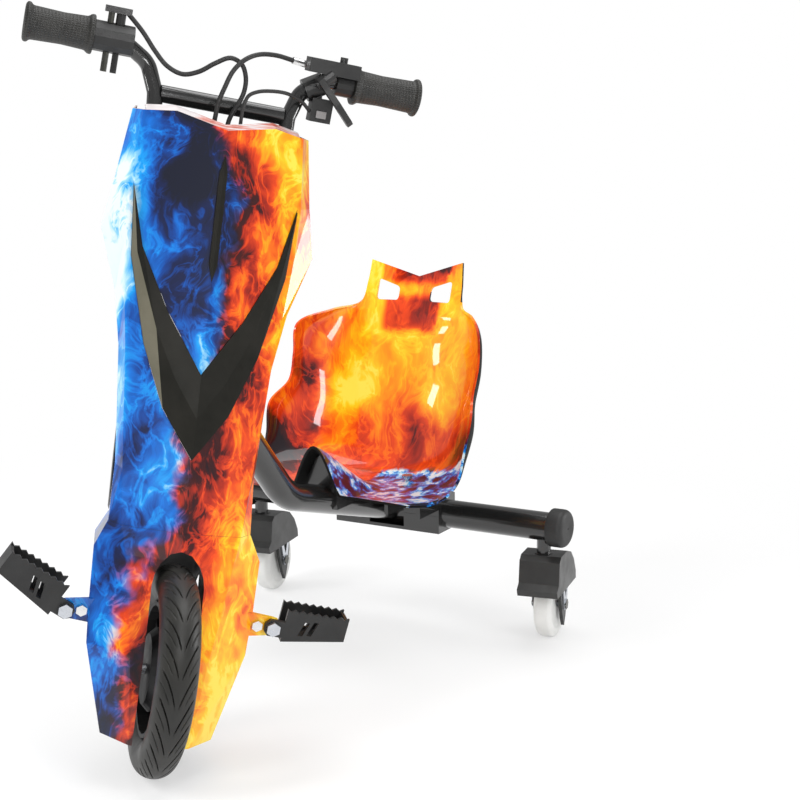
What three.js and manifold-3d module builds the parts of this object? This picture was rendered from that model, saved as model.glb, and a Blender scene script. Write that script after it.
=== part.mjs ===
// Three-wheeled drift scooter: a raked front end with a hub-motor wheel, a faceted fairing and
// foot pegs steers in a bent tube frame that carries a bucket seat and two swivelling casters.
// Millimetres, +Z up, the front looks along -Y. The front end is built facing straight ahead and
// then turned about its raked steering axis, as the scooter stands in a tight turn.
import * as THREE from "three";
import { mergeVertices } from "three/addons/utils/BufferGeometryUtils.js";
import Module from "manifold-3d";

const wasm = await Module();
wasm.setup();

// Driving dimensions
const gap = 0.3; // between neighbours that touch
const overrun = 2; // how far a cut runs past the material
const axleHeight = 127; // front wheel radius, so its axle height
const tyreWidth = 48;
const tyreSection = 46; // height of the tyre from bead to tread
const trail = 49.7; // the steering axis passes this far behind the front axle
const wheelbase = 664; // front axle to caster axles
const rearTrack = 500; // between the kingpins
const casterTrail = 36;
const steerAngle = 46.5; // degrees, to the side that the scooter turns to at rest
const rakeAngle = 15.6; // degrees, steering axis from upright
const faceRake = 20.7; // degrees, fairing face from upright
const uprightRake = 23.4; // degrees, fork uprights from upright
const rightPegRaise = 27.4; // degrees above level at rest
const leftPegRaise = -4;

const bendStep = 26; // degrees of a bend between two of its sections
const forkSides = 10;
const frameSides = 12;
const roundSides = 16;

const degree = Math.PI / 180;
const rakeSlope = Math.tan(rakeAngle * degree);
const faceSlope = Math.tan(faceRake * degree);
const uprightSlope = Math.tan(uprightRake * degree);

// Solids
const v3 = (x, y, z) => new THREE.Vector3(x, y, z);

function solid(geometry, matrix) {
  const flat = geometry.index ? geometry.toNonIndexed() : geometry.clone();
  const bare = new THREE.BufferGeometry();
  bare.setAttribute("position", flat.getAttribute("position"));
  if (matrix) bare.applyMatrix4(matrix);
  const merged = mergeVertices(bare, 1e-3 * gap);
  const vertProperties = merged.attributes.position.array;
  const triVerts = new Uint32Array(merged.index.array);
  if (volumeOf(vertProperties, triVerts) < 0) triVerts.reverse();
  return new wasm.Manifold(new wasm.Mesh({ numProp: 3, vertProperties, triVerts }));
}

// Below zero where the faces point inwards
function volumeOf(places, corners) {
  const [a, b, c] = [v3(0, 0, 0), v3(0, 0, 0), v3(0, 0, 0)];
  let volume = 0;
  for (let i = 0; i < corners.length; i += 3) {
    a.fromArray(places, 3 * corners[i]);
    b.fromArray(places, 3 * corners[i + 1]);
    c.fromArray(places, 3 * corners[i + 2]);
    volume += a.dot(b.cross(c));
  }
  return volume;
}

function geometryOf(made) {
  const mesh = made.getMesh();
  const geometry = new THREE.BufferGeometry();
  geometry.setAttribute("position", new THREE.BufferAttribute(mesh.vertProperties, 3));
  geometry.setIndex(new THREE.BufferAttribute(mesh.triVerts, 1));
  return geometry;
}

const join = (...solids) => solids.reduce((a, b) => a.add(b));
const cut = (from, ...solids) => solids.reduce((a, b) => a.subtract(b), from);

// The matrix that stands the local +Z of a shape along a direction, at a place.
function along(direction, at) {
  const turn = new THREE.Quaternion().setFromUnitVectors(v3(0, 0, 1), direction.clone().normalize());
  return new THREE.Matrix4().compose(at, turn, v3(1, 1, 1));
}

function block(sizeX, sizeY, sizeZ, at, matrix = new THREE.Matrix4()) {
  const geometry = new THREE.BoxGeometry(sizeX, sizeY, sizeZ).translate(at.x, at.y, at.z);
  return solid(geometry, matrix);
}

function rod(radius, from, to, sides = 12, endRadius = radius) {
  const run = to.clone().sub(from);
  const geometry = new THREE.CylinderGeometry(endRadius, radius, run.length(), sides);
  geometry.rotateX(Math.PI / 2);
  return solid(geometry, along(run, from.clone().lerp(to, 0.5)));
}

function turned(profile, sides, axis, at) {
  const geometry = new THREE.LatheGeometry(
    profile.map(([r, h]) => new THREE.Vector2(r, h)),
    sides,
  );
  geometry.rotateX(Math.PI / 2);
  return solid(geometry, along(axis, at));
}

// A round bar along a path
function bar(radius, path, steps, sides = 12) {
  const section = new THREE.Shape(
    Array.from({ length: sides }, (_, i) => {
      const a = (2 * Math.PI * i) / sides;
      return new THREE.Vector2(radius * Math.cos(a), radius * Math.sin(a));
    }),
  );
  return solid(new THREE.ExtrudeGeometry(section, { steps, extrudePath: path }));
}

// A path that an extrusion follows from stop to stop, with a section at each stop
class StopPath extends THREE.Curve {
  constructor(stops) {
    super();
    this.stops = stops;
  }
  between(share) {
    const place = share * (this.stops.length - 1);
    const index = Math.min(Math.round(place), this.stops.length - 1);
    return this.stops[index];
  }
  getPointAt(share) {
    return this.between(share).at.clone();
  }
  getTangentAt(share) {
    return this.between(share).heading.clone();
  }
}

// A bent bar: straight runs joined by bends of one radius
function bentBar(radius, points, bendRadius, sides = forkSides) {
  const stops = [];
  const heading = (from, to) => to.clone().sub(from).normalize();
  stops.push({ at: points[0], heading: heading(points[0], points[1]) });
  for (let i = 1; i < points.length - 1; i++) {
    const corner = points[i];
    const back = heading(corner, points[i - 1]);
    const on = heading(corner, points[i + 1]);
    const reach = bendRadius / Math.tan(back.angleTo(on) / 2);
    const enter = corner.clone().addScaledVector(back, reach);
    const leave = corner.clone().addScaledVector(on, reach);
    const bend = new THREE.QuadraticBezierCurve3(enter, corner, leave);
    const steps = Math.max(2, Math.ceil((Math.PI - back.angleTo(on)) / (bendStep * degree)));
    for (let k = 0; k <= steps; k++) {
      stops.push({ at: bend.getPoint(k / steps), heading: bend.getTangent(k / steps) });
    }
  }
  const last = points.length - 1;
  stops.push({ at: points[last], heading: heading(points[last - 1], points[last]) });
  return bar(radius, new StopPath(stops), stops.length - 1, sides);
}

// An outline in two of the axes, pushed out along the third.
function slab(outline, from, to, plane) {
  const shape = new THREE.Shape(outline.map(([a, b]) => new THREE.Vector2(a, b)));
  const geometry = new THREE.ExtrudeGeometry(shape, { depth: to - from, bevelEnabled: false });
  geometry.translate(0, 0, from);
  const turns = {
    xy: new THREE.Matrix4(),
    xz: new THREE.Matrix4().makeBasis(v3(1, 0, 0), v3(0, 0, 1), v3(0, -1, 0)),
    yz: new THREE.Matrix4().makeBasis(v3(0, 1, 0), v3(0, 0, 1), v3(1, 0, 0)),
  };
  return solid(geometry, turns[plane]);
}

// A solid through closed sections that all have as many points, the first one lowest. Level
// sections may have any outline, and others that don't lie level are closed by a fan.
function loft(sections, fan = false) {
  const count = sections[0].length;
  const positions = [];
  const face = (...points) => points.forEach((p) => positions.push(p.x, p.y, p.z));
  for (let level = 0; level + 1 < sections.length; level++) {
    for (let i = 0; i < count; i++) {
      const next = (i + 1) % count;
      const [a, b] = [sections[level][i], sections[level][next]];
      const [c, d] = [sections[level + 1][i], sections[level + 1][next]];
      face(a, b, d);
      face(a, d, c);
    }
  }
  const cap = (section, up) => {
    const flat = section.map((p) => new THREE.Vector2(p.x, p.y));
    const fanned = section.slice(2).map((_, i) => [0, i + 1, i + 2]);
    for (const [i, j, k] of fan ? fanned : THREE.ShapeUtils.triangulateShape(flat, [])) {
      if (up) face(section[i], section[j], section[k]);
      else face(section[i], section[k], section[j]);
    }
  };
  cap(sections[0], false);
  cap(sections[sections.length - 1], true);
  const geometry = new THREE.BufferGeometry();
  geometry.setAttribute("position", new THREE.BufferAttribute(new Float32Array(positions), 3));
  return solid(geometry);
}

const mirror = (made) => made.mirror([1, 0, 0]);

// Materials
const finish = (color, roughness, metalness) => ({ color, roughness, metalness });
const blackPaint = finish(0x151517, 0.3, 0.4);
const blackPlastic = finish(0x1d1d1f, 0.55, 0);
const rubber = finish(0x232322, 0.8, 0);
const printed = finish(0x1f5fbf, 0.15, 0);
const flamePrint = finish(0xf08a18, 0.15, 0);
const steel = finish(0xb9bcc0, 0.35, 0.9);
const greyCasting = finish(0x3a3b3d, 0.5, 0.6);
const whitePlastic = finish(0xf2f2ef, 0.35, 0);
const batteryWrap = finish(0x2c4f86, 0.5, 0);

function add(group, name, made, look) {
  const mesh = new THREE.Mesh(geometryOf(made), new THREE.MeshStandardMaterial(look));
  mesh.name = name;
  group.add(mesh);
  return mesh;
}

// Places that several pieces share
const steerAxis = v3(0, Math.sin(rakeAngle * degree), Math.cos(rakeAngle * degree));
const onSteerAxis = (z) => v3(0, trail + (z - axleHeight) * rakeSlope, z);
const uprightY = (z) => (z - axleHeight) * uprightSlope;
const faceFootHeight = 375;
const faceFootY = 57.5;
const faceY = (z) => faceFootY + (z - faceFootHeight) * faceSlope;

const front = new THREE.Group();
const rear = new THREE.Group();

// Front wheel: tyre on a hub motor with five twin spokes, on a fixed axle
const wheelSides = 26;
const hubRadius = 50;
const hubWidth = 42;
const rimWidth = 34;
const rimWall = 5;
const beadRadius = axleHeight - tyreSection;
const axleRadius = 6;
const axleReach = 64; // half length
const wheelCentre = v3(0, 0, axleHeight);
const acrossX = v3(1, 0, 0);
const halfTyre = tyreWidth / 2;
const treadShares = [
  [0, 0.55],
  [0.16, 0.84],
  [0.45, 1],
  [0.72, 0.9],
  [0.92, 0.55],
  [1, 0],
];
const tyreProfile = [
  ...treadShares.map(([rise, half]) => [beadRadius + tyreSection * rise, halfTyre * half]),
  ...treadShares
    .slice(0, -1)
    .reverse()
    .map(([rise, half]) => [beadRadius + tyreSection * rise, -halfTyre * half]),
];
const grooveCount = 14;
const grooveWidth = 4;
const grooveDepth = 3;
const grooveSweep = 14; // how far a groove runs round the tread
const grooveShares = [0.12, 0.8]; // of the half width, where a groove starts and ends

function treadGrooves() {
  const grooves = [];
  for (let i = 0; i < grooveCount; i++) {
    const turn = (2 * Math.PI * (i + 0.5)) / grooveCount;
    for (const side of [-1, 1]) {
      const half = side * halfTyre;
      const outline = [
        [half * grooveShares[0], -grooveSweep],
        [half * grooveShares[1], grooveSweep],
        [half * grooveShares[1], grooveSweep + grooveWidth],
        [half * grooveShares[0], grooveWidth - grooveSweep],
      ];
      const top = axleHeight + overrun;
      const bottom = axleHeight - grooveDepth;
      const groove = slab(outline, bottom, top, "xy");
      const matrix = new THREE.Matrix4().makeRotationX(turn);
      grooves.push(groove.transform(matrix.elements));
    }
  }
  return grooves;
}

const tyreRing = turned([...tyreProfile, tyreProfile[0]], wheelSides, acrossX, v3(0, 0, 0));
const tyre = cut(tyreRing, ...treadGrooves()).translate([0, 0, axleHeight]);
const wheel = new THREE.Group();
add(wheel, "front_tyre", tyre, rubber);

const seatRadius = beadRadius - gap;
const halfRim = rimWidth / 2;
const halfHub = hubWidth / 2;
const hubStep = 8; // hub's chamfer
const axleBore = axleRadius + gap;
const rimRing = turned(
  [
    [seatRadius - rimWall, -halfRim],
    [seatRadius, -halfRim],
    [seatRadius, halfRim],
    [seatRadius - rimWall, halfRim],
    [seatRadius - rimWall, -halfRim],
  ],
  wheelSides,
  acrossX,
  wheelCentre,
);
const drum = turned(
  [
    [axleBore, -halfHub],
    [hubRadius - hubStep, -halfHub],
    [hubRadius, hubStep - halfHub],
    [hubRadius, halfHub - hubStep],
    [hubRadius - hubStep, halfHub],
    [axleBore, halfHub],
    [axleBore, -halfHub],
  ],
  wheelSides,
  acrossX,
  wheelCentre,
);
const spokeCount = 5;
const spokeWidth = 9;
const spokeThick = 12;
const spokeSpread = 8; // degrees each way in a pair
const spokes = [];
for (let i = 0; i < spokeCount; i++) {
  for (const side of [-1, 1]) {
    const turn = (360 / spokeCount) * i + side * spokeSpread;
    const reach = seatRadius - hubRadius + rimWall;
    const middle = hubRadius + (reach - 2 * rimWall) / 2;
    const spoke = block(spokeThick, spokeWidth, reach, v3(0, 0, middle));
    spokes.push(spoke.rotate([turn, 0, 0]).translate([0, 0, axleHeight]));
  }
}
const spokeKeep = rod(seatRadius - gap, v3(-halfTyre, 0, axleHeight), v3(halfTyre, 0, axleHeight), wheelSides);
const boreCut = rod(axleBore, v3(-tyreWidth, 0, axleHeight), v3(tyreWidth, 0, axleHeight));
const spokeSet = cut(join(...spokes).intersect(spokeKeep), boreCut);
add(wheel, "hub_motor", join(rimRing, drum, spokeSet), greyCasting);
front.add(wheel);

const nutRadius = 11;
const nutHeight = 8;
const forkTube = 20; // outside diameter
const forkRadius = forkTube / 2;
const tyreClear = 11;
const dropoutThick = 6;
const forkX = halfTyre + tyreClear + forkRadius;
const dropoutFace = forkX + dropoutThick / 2;
add(front, "front_axle", rod(axleRadius, v3(-axleReach, 0, axleHeight), v3(axleReach, 0, axleHeight)), steel);
for (const [side, name] of [
  [-1, "axle_nut_right"],
  [1, "axle_nut_left"],
]) {
  const from = v3(side * (dropoutFace + gap), 0, axleHeight);
  const to = v3(side * (dropoutFace + gap + nutHeight), 0, axleHeight);
  const bore = rod(axleRadius + gap, v3(0, 0, axleHeight), v3(side * (axleReach + overrun), 0, axleHeight));
  add(front, name, cut(rod(nutRadius, from, to, 6), bore), steel);
}

// Fork uprights, which bend out at the top into the two halves of the handlebar
const forkShoulderHeight = 285;
const forkKneeHeight = 400;
const uprightKneeX = 62;
const uprightTopX = 86;
const gripHeight = 833;
const crossbarDrop = 55; // the crossbar, below the grips
const barRise = 21; // of the bar's outward bend
const crossbarHeight = gripHeight - crossbarDrop;
const barBendHeight = gripHeight - barRise;
const gripY = 296;
const barBend = 26;
const gripStartX = 160;
const gripEndX = 250;
const dropoutRadius = 17;
const dropoutTop = 150;

const uprightPoints = [
  v3(forkX, uprightY(dropoutTop), dropoutTop),
  v3(forkX, uprightY(forkShoulderHeight), forkShoulderHeight),
  v3(uprightKneeX, uprightY(forkKneeHeight), forkKneeHeight),
  v3(uprightTopX, uprightY(crossbarHeight), crossbarHeight),
  v3(uprightTopX + barBend / 2, uprightY(barBendHeight), barBendHeight),
  v3(gripStartX - barBend, gripY, gripHeight),
  v3(gripEndX, gripY, gripHeight),
];
function upright(side) {
  const plate = slab(
    [
      [-dropoutRadius, axleHeight - dropoutRadius],
      [dropoutRadius, axleHeight - dropoutRadius],
      [dropoutRadius, axleHeight + dropoutRadius / 2],
      [uprightY(dropoutTop) + forkRadius, dropoutTop + dropoutRadius],
      [uprightY(dropoutTop) - forkRadius, dropoutTop + dropoutRadius],
      [-dropoutRadius, axleHeight + dropoutRadius / 2],
    ],
    forkX - dropoutThick / 2,
    forkX + dropoutThick / 2,
    "yz",
  );
  const bore = rod(axleRadius + gap, v3(0, 0, axleHeight), v3(axleReach + overrun, 0, axleHeight));
  const made = cut(join(bentBar(forkRadius, uprightPoints, barBend), plate), bore);
  return side > 0 ? made : mirror(made);
}

const leftUpright = upright(1);
const rightUpright = upright(-1);
add(front, "upright_left", leftUpright, blackPaint);
add(front, "upright_right", rightUpright, blackPaint);
const uprightRoom = bentBar(forkRadius + gap, uprightPoints, barBend);
const bothUprightRooms = join(uprightRoom, mirror(uprightRoom));

const crossbarRadius = 11;
const crossbar = rod(
  crossbarRadius,
  v3(-uprightTopX, uprightY(crossbarHeight), crossbarHeight),
  v3(uprightTopX, uprightY(crossbarHeight), crossbarHeight),
);
add(front, "handlebar_crossbar", cut(crossbar, bothUprightRooms), blackPaint);

// Steering pivot: two yokes on the uprights, with a king bolt through the head tube
const headTubeRadius = 22;
const headTubeWall = 4;
const headLowShare = 0.394; // of the way from the axle to the grips
const headHighShare = 0.55;
const headLow = axleHeight + headLowShare * (gripHeight - axleHeight);
const headHigh = axleHeight + headHighShare * (gripHeight - axleHeight);
const cupHeight = 7;
const cupRadius = 26;
const steererRadius = 12;
const yokeThick = 8;
const yokeDepth = 34;
const yokeHub = 24;
const kingNutHeight = 12;
const alongAxis = (point, distance) => point.clone().addScaledVector(steerAxis, distance);
const headFoot = onSteerAxis(headLow);
const headTop = onSteerAxis(headHigh);
const lowerYokeTop = alongAxis(headFoot, -(cupHeight + 2 * gap));
const upperYokeFoot = alongAxis(headTop, cupHeight + 2 * gap);
const steererFoot = alongAxis(lowerYokeTop, -(yokeThick + kingNutHeight));
const steererTop = alongAxis(upperYokeFoot, yokeThick + kingNutHeight);
const steererRoom = rod(steererRadius + gap, alongAxis(steererFoot, -overrun), alongAxis(steererTop, overrun));

function yoke(foot) {
  const hub = rod(yokeHub, foot, alongAxis(foot, yokeThick), roundSides);
  const plate = block(
    2 * uprightTopX,
    yokeDepth,
    yokeThick,
    v3(0, 0, yokeThick / 2),
    along(steerAxis, foot),
  );
  const reach = uprightSpanAt(foot.z);
  const keep = block(2 * reach, 4 * yokeDepth, 4 * yokeDepth, foot);
  return cut(join(hub, plate.intersect(keep)), bothUprightRooms, steererRoom);
}

// Half the distance between the uprights' centres at a height above their knees
function uprightSpanAt(z) {
  const share = Math.max(0, (z - forkKneeHeight) / (crossbarHeight - forkKneeHeight));
  return uprightKneeX + (uprightTopX - uprightKneeX) * share;
}

add(front, "lower_yoke", yoke(alongAxis(lowerYokeTop, -yokeThick)), blackPaint);
add(front, "upper_yoke", yoke(upperYokeFoot), blackPaint);
add(front, "steering_bolt", rod(steererRadius, steererFoot, steererTop), steel);
const kingNut = (from) => cut(rod(yokeHub - yokeThick, from, alongAxis(from, kingNutHeight - gap), 6), steererRoom);
add(front, "steering_nut_upper", kingNut(alongAxis(upperYokeFoot, yokeThick + gap)), steel);
add(front, "steering_nut_lower", kingNut(alongAxis(steererFoot, 0)), steel);

// Fairing: sections of the faceted shell from its foot to its top. A row has the height, the half
// width and set back of the ridge, those of the side, then the half width and depth of the back
const shellWall = 3;
const archClear = 18; // between the tyre and the arch of the wheel cover
const archCrown = 18; // of the cover above its arch
const archTop = 2 * axleHeight + archClear;
const seamHeight = archTop + archCrown; // where the fairing meets the wheel cover
const shellDrop = 57; // the fairing's top, below the grips
const shellTop = gripHeight - shellDrop;
const shellHeight = shellTop - seamHeight;
const onShell = (share) => seamHeight + share * shellHeight;
const shellHalf = 134;
const shellDepth = 112;
const shellShares = [
  [0, 0.537, 0.089, 0.642, 0.232, 0.619, 0.554],
  [0.1235, 0.582, 0.134, 0.634, 0.321, 0.604, 0.679],
  [0.2572, 0.627, 0.179, 0.672, 0.402, 0.627, 0.768],
  [0.391, 0.672, 0.223, 0.716, 0.464, 0.672, 0.857],
  [0.5165, 0.731, 0.259, 0.806, 0.464, 0.746, 0.929],
  [0.6646, 0.791, 0.295, 1, 0.5, 0.866, 1],
  [0.786, 0.806, 0.304, 0.925, 0.518, 0.836, 0.982],
  [1, 0.746, 0.304, 0.821, 0.482, 0.776, 0.857],
];
const shellLevels = shellShares.map(([height, ridge, ridgeBack, side, sideBack, back, depth]) => ({
  z: seamHeight + height * shellHeight,
  ridge: ridge * shellHalf,
  ridgeBack: ridgeBack * shellDepth,
  side: side * shellHalf,
  sideBack: sideBack * shellDepth,
  back: back * shellHalf,
  depth: depth * shellDepth,
}));

function shellSection(level, inset, reach) {
  const y = faceY(level.z) + inset;
  const half = [
    [level.ridge - inset, y + level.ridgeBack],
    [level.side - inset, y + level.sideBack],
    [level.back - inset, faceY(level.z) + level.depth + reach],
  ];
  const points = [v3(0, y, level.z)];
  half.forEach(([x, py]) => points.push(v3(x, py, level.z)));
  half
    .slice()
    .reverse()
    .forEach(([x, py]) => points.push(v3(-x, py, level.z)));
  return points;
}

// Levels for a cavity, which reaches past both ends
function extended(levels) {
  const first = { ...levels[0], z: levels[0].z - overrun };
  const last = levels[levels.length - 1];
  return [first, ...levels.slice(1, -1), { ...last, z: last.z + overrun }];
}

function shell(levels) {
  const outer = loft(levels.map((level) => shellSection(level, 0, 0)));
  const inner = loft(extended(levels).map((level) => shellSection(level, shellWall, overrun)));
  return { outer, inner };
}

const cornerDrop = 24; // the fairing's trimmed edge below its top, at the corners
const peakDrop = 12;
const dipDrop = 23;
const topCorner = shellTop - cornerDrop;
const topPeak = shellTop - peakDrop;
const topDip = shellTop - dipDrop;
const peakShare = 0.463; // of the fairing's half width, where its top edge is highest
const peakX = peakShare * shellHalf;
const upper = shell(shellLevels);
const topTrim = slab(
  [
    [0, topDip],
    [peakX, topPeak],
    [shellHalf, topCorner],
    [shellHalf, shellTop + overrun],
    [-shellHalf, shellTop + overrun],
    [-shellHalf, topCorner],
    [-peakX, topPeak],
  ],
  -wheelbase,
  wheelbase,
  "xz",
);

// Chevron trim let into the face, each arm with a ridge, and the slot trim above its inner point
const trimDepth = 5;
const trimProud = 2.5;
const trimRidge = 7; // how far the ridge stands out of the face
const chevronFootShare = 0.169; // of the fairing's height
const chevronTopShare = 0.786;
const chevronFoot = onShell(chevronFootShare);
const chevronRise = onShell(chevronTopShare) - chevronFoot;
const chevronHalfShare = 0.769; // of the fairing's half width
const chevronHalf = chevronHalfShare * shellHalf;
const chevronOuterShares = [
  [0, 0],
  [0.388, 0.173],
  [0.68, 0.4],
  [0.932, 0.72],
  [1, 1],
];
const chevronInnerShares = [
  [0, 0.32],
  [0.194, 0.413],
  [0.447, 0.533],
  [0.816, 0.76],
  [1, 1],
];
const chevronPlace = ([across, rise]) => [chevronHalf * across, chevronFoot + chevronRise * rise];
const chevronOuter = chevronOuterShares.map(chevronPlace);
const chevronInner = chevronInnerShares.map(chevronPlace);
const chevron = [...chevronOuter, ...chevronInner.slice(0, -1).reverse()];
const chevronOutline = (grow) => {
  const right = chevron.map(([x, z]) => [x, z]);
  const left = right
    .slice(1, -1)
    .reverse()
    .map(([x, z]) => [-x, z]);
  const all = [...right, ...left];
  return grow ? growOutline(all, grow) : all;
};

// Moves each corner of a closed outline out by a distance, along the mean of its edges' normals
const sharpestShare = 0.35; // of a corner's normal, which keeps a thin tip from running far out
function growOutline(points, distance) {
  return points.map(([x, z], i) => {
    const [ax, az] = points[(i + points.length - 1) % points.length];
    const [bx, bz] = points[(i + 1) % points.length];
    const first = new THREE.Vector2(z - az, ax - x).normalize();
    const second = new THREE.Vector2(bz - z, x - bx).normalize();
    const mean = first.clone().add(second).normalize();
    const stretch = distance / Math.max(mean.dot(first), sharpestShare);
    return [x + mean.x * stretch, z + mean.y * stretch];
  });
}

const chevronColumn = (grow) => slab(chevronOutline(grow), -wheelbase, wheelbase, "xz");
// A slab cut out of the space between the face moved back by two depths
function faceSkin(from, to) {
  const near = loft(shellLevels.map((level) => shellSection(level, from, overrun)));
  const far = loft(extended(shellLevels).map((level) => shellSection(level, to, 2 * overrun)));
  return cut(near, far);
}

const slotTopShare = 0.891;
const slotFootShare = 0.588;
const slotTop = onShell(slotTopShare);
const slotFoot = onShell(slotFootShare);
const slotHalf = 5;
const slotPoint = 20; // length of its pointed ends
const slotOutline = [
  [0, slotFoot],
  [slotHalf, slotFoot + slotPoint],
  [slotHalf, slotTop - slotPoint],
  [0, slotTop],
  [-slotHalf, slotTop - slotPoint],
  [-slotHalf, slotFoot + slotPoint],
];
const slotColumn = (grow) => slab(grow ? growOutline(slotOutline, grow) : slotOutline, -wheelbase, wheelbase, "xz");
const shellSolid = cut(upper.outer, upper.inner, topTrim, chevronColumn(gap), slotColumn(gap));
add(front, "front_shell", shellSolid, printed);
const trimSkin = cut(faceSkin(-trimProud, trimDepth), topTrim);

// The face's place at a point between its middle and its ridges
function faceAt([x, z]) {
  const level = levelAt(z);
  return faceY(z) + (level.ridgeBack * Math.abs(x)) / level.ridge;
}

// One arm of the chevron: sections from its root on the middle line to near its tip
function chevronArm() {
  const tipShare = 0.95;
  const sections = chevronOuter.map((outer, i) => {
    const inner = chevronInner[i];
    const last = chevronOuter.length - 1;
    const share = i < last ? 1 : tipShare;
    const back = (point, before) => point.map((value, k) => before[k] + (value - before[k]) * share);
    const [o, n] = i < last ? [outer, inner] : [back(outer, chevronOuter[i - 1]), back(inner, chevronInner[i - 1])];
    const ridge = o.map((value, k) => (value + n[k]) / 2);
    const place = (point, proud) => v3(point[0], faceAt(point) - proud, point[1]);
    return [place(o, trimProud), place(ridge, trimRidge), place(n, trimProud), place(n, -trimDepth), place(o, -trimDepth)];
  });
  return loft(sections, true);
}
const arm = chevronArm();
add(front, "chevron_trim", join(arm, mirror(arm)), blackPlastic);
add(front, "slot_trim", trimSkin.intersect(slotColumn(0)), blackPlastic);

// The fairing's section at a height between its levels
function levelAt(z) {
  const above = Math.max(1, shellLevels.findIndex((level) => level.z > z));
  const [low, high] = [shellLevels[above - 1], shellLevels[above]];
  const share = (z - low.z) / (high.z - low.z);
  const level = {};
  for (const key of Object.keys(low)) level[key] = low[key] + (high[key] - low[key]) * share;
  return level;
}
const backEdge = (z) => faceY(z) + levelAt(z).depth;

// Wheel cover below the fairing, split by an arch for the tyre. A row has the height, the front,
// then the half width and place of the ridge, the side and the back; the top row meets the fairing
const coverFoot = 56;
const coverHalf = 102;
const coverFront = -62; // foremost point, at its foot
const coverRun = 172; // the depth that its shares are of
const coverShares = [
  [0, 0, 0.343, 0.023, 0.647, 0.186, 0.588, 0.593],
  [0.423, 0.128, 0.451, 0.174, 0.93, 0.349, 0.87, 0.79],
  [0.615, 0.233, 0.529, 0.273, 0.96, 0.43, 0.9, 0.84],
  [0.88, 0.39, 0.627, 0.43, 0.98, 0.564, 0.93, 0.88],
];
const coverHeight = seamHeight - coverFoot;
const coverLevels = coverShares.map(([height, face, ridge, ridgeY, side, sideY, back, backY]) => ({
  z: coverFoot + height * coverHeight,
  front: coverFront + face * coverRun,
  ridge: ridge * coverHalf,
  ridgeY: coverFront + ridgeY * coverRun,
  side: side * coverHalf,
  sideY: coverFront + sideY * coverRun,
  back: back * coverHalf,
  backY: coverFront + backY * coverRun,
}));
const [seam] = shellLevels;
coverLevels.push({
  z: seamHeight - gap,
  front: faceY(seamHeight),
  ridge: seam.ridge,
  ridgeY: faceY(seamHeight) + seam.ridgeBack,
  side: seam.side,
  sideY: faceY(seamHeight) + seam.sideBack,
  back: seam.back,
  backY: faceY(seamHeight) + seam.depth,
});

function coverSection(level, inset, reach, shift = inset) {
  const half = [
    [level.ridge - inset, level.ridgeY + shift],
    [level.side - inset, level.sideY + shift],
    [level.back - inset, level.backY + reach],
  ];
  const points = [v3(0, level.front + shift, level.z)];
  half.forEach(([x, y]) => points.push(v3(x, y, level.z)));
  half.reverse().forEach(([x, y]) => points.push(v3(-x, y, level.z)));
  return points;
}

const coverOuter = loft(coverLevels.map((level) => coverSection(level, 0, 0)));
const coverInner = loft(extended(coverLevels).map((level) => coverSection(level, shellWall, overrun)));
const archSide = 7; // between the tyre and the arch
const archBend = 38; // height of the arch's round top
const archHalf = halfTyre + archSide;
const archShoulder = archTop - archBend;
const archRimDepth = 45;
const archShares = [
  [0.94, 0.3],
  [0.76, 0.62],
  [0.42, 0.9],
  [0, 1],
];

function archColumn(grow) {
  const half = archHalf + grow;
  const rise = archTop + grow - archShoulder;
  const right = [[half, -overrun], [half, archShoulder]];
  archShares.forEach(([x, z]) => right.push([half * x, archShoulder + rise * z]));
  const left = right.slice(0, -1).reverse().map(([x, z]) => [-x, z]);
  return slab([...right, ...left], -wheelbase, wheelbase, "xz");
}

const rimReach = archRimDepth + overrun;
const archRimBack = loft(extended(coverLevels).map((level) => coverSection(level, 0, rimReach, archRimDepth)));
const archRim = cut(archColumn(shellWall).intersect(coverOuter), archRimBack);

// Peg brackets: plates across the front of the uprights that pass through slots in the cover
const bracketFront = 10;
const bracketThick = 6;
const bracketHalf = 22; // half its height at the uprights
const pegPivotX = 124;
const pegPivotZ = 190;
const bracketEye = 11;
const bracketInnerX = 38;
const bracketBoltX = 105;
const bracketBoltRadius = 7;
const bracketBoltHeight = 4;
const pegBoltRadius = 5;
const pegHeadRadius = 9;
const pegHeadHeight = 5;
const bracketBack = bracketFront + bracketThick;
const alongY = (radius, x, z, from, to, sides = 12) => rod(radius, v3(x, from, z), v3(x, to, z), sides);

function bracketBody(grow) {
  const outline = [
    [bracketInnerX, pegPivotZ - bracketHalf - grow],
    [pegPivotX, pegPivotZ - bracketEye - grow],
    [pegPivotX, pegPivotZ + bracketEye + grow],
    [bracketInnerX, pegPivotZ + bracketHalf + grow],
  ];
  const plate = slab(outline, -bracketBack - grow, -bracketFront + grow, "xz");
  const eye = alongY(bracketEye + grow, pegPivotX, pegPivotZ, bracketFront - grow, bracketBack + grow);
  return join(plate, eye);
}

const bracketBolt = (grow) =>
  alongY(bracketBoltRadius + grow, bracketBoltX, pegPivotZ, bracketFront - bracketBoltHeight - grow, bracketBack, 6);
const pegBore = alongY(pegBoltRadius + gap, pegPivotX, pegPivotZ, -wheelbase, wheelbase);
const bracket = cut(join(bracketBody(0), bracketBolt(0)), bothUprightRooms, pegBore);
const bracketRoom = join(bracketBody(gap), bracketBolt(gap));
const axleRoom = rod(nutRadius, v3(-axleReach, 0, axleHeight), v3(axleReach, 0, axleHeight));
const coverSkin = join(cut(coverOuter, coverInner), cut(archRim, axleRoom));
const coverShell = cut(coverSkin, archColumn(0), bracketRoom, mirror(bracketRoom));
add(front, "wheel_cover", coverShell, flamePrint);
add(front, "peg_bracket_left", bracket, printed);
add(front, "peg_bracket_right", mirror(bracket), printed);

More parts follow.
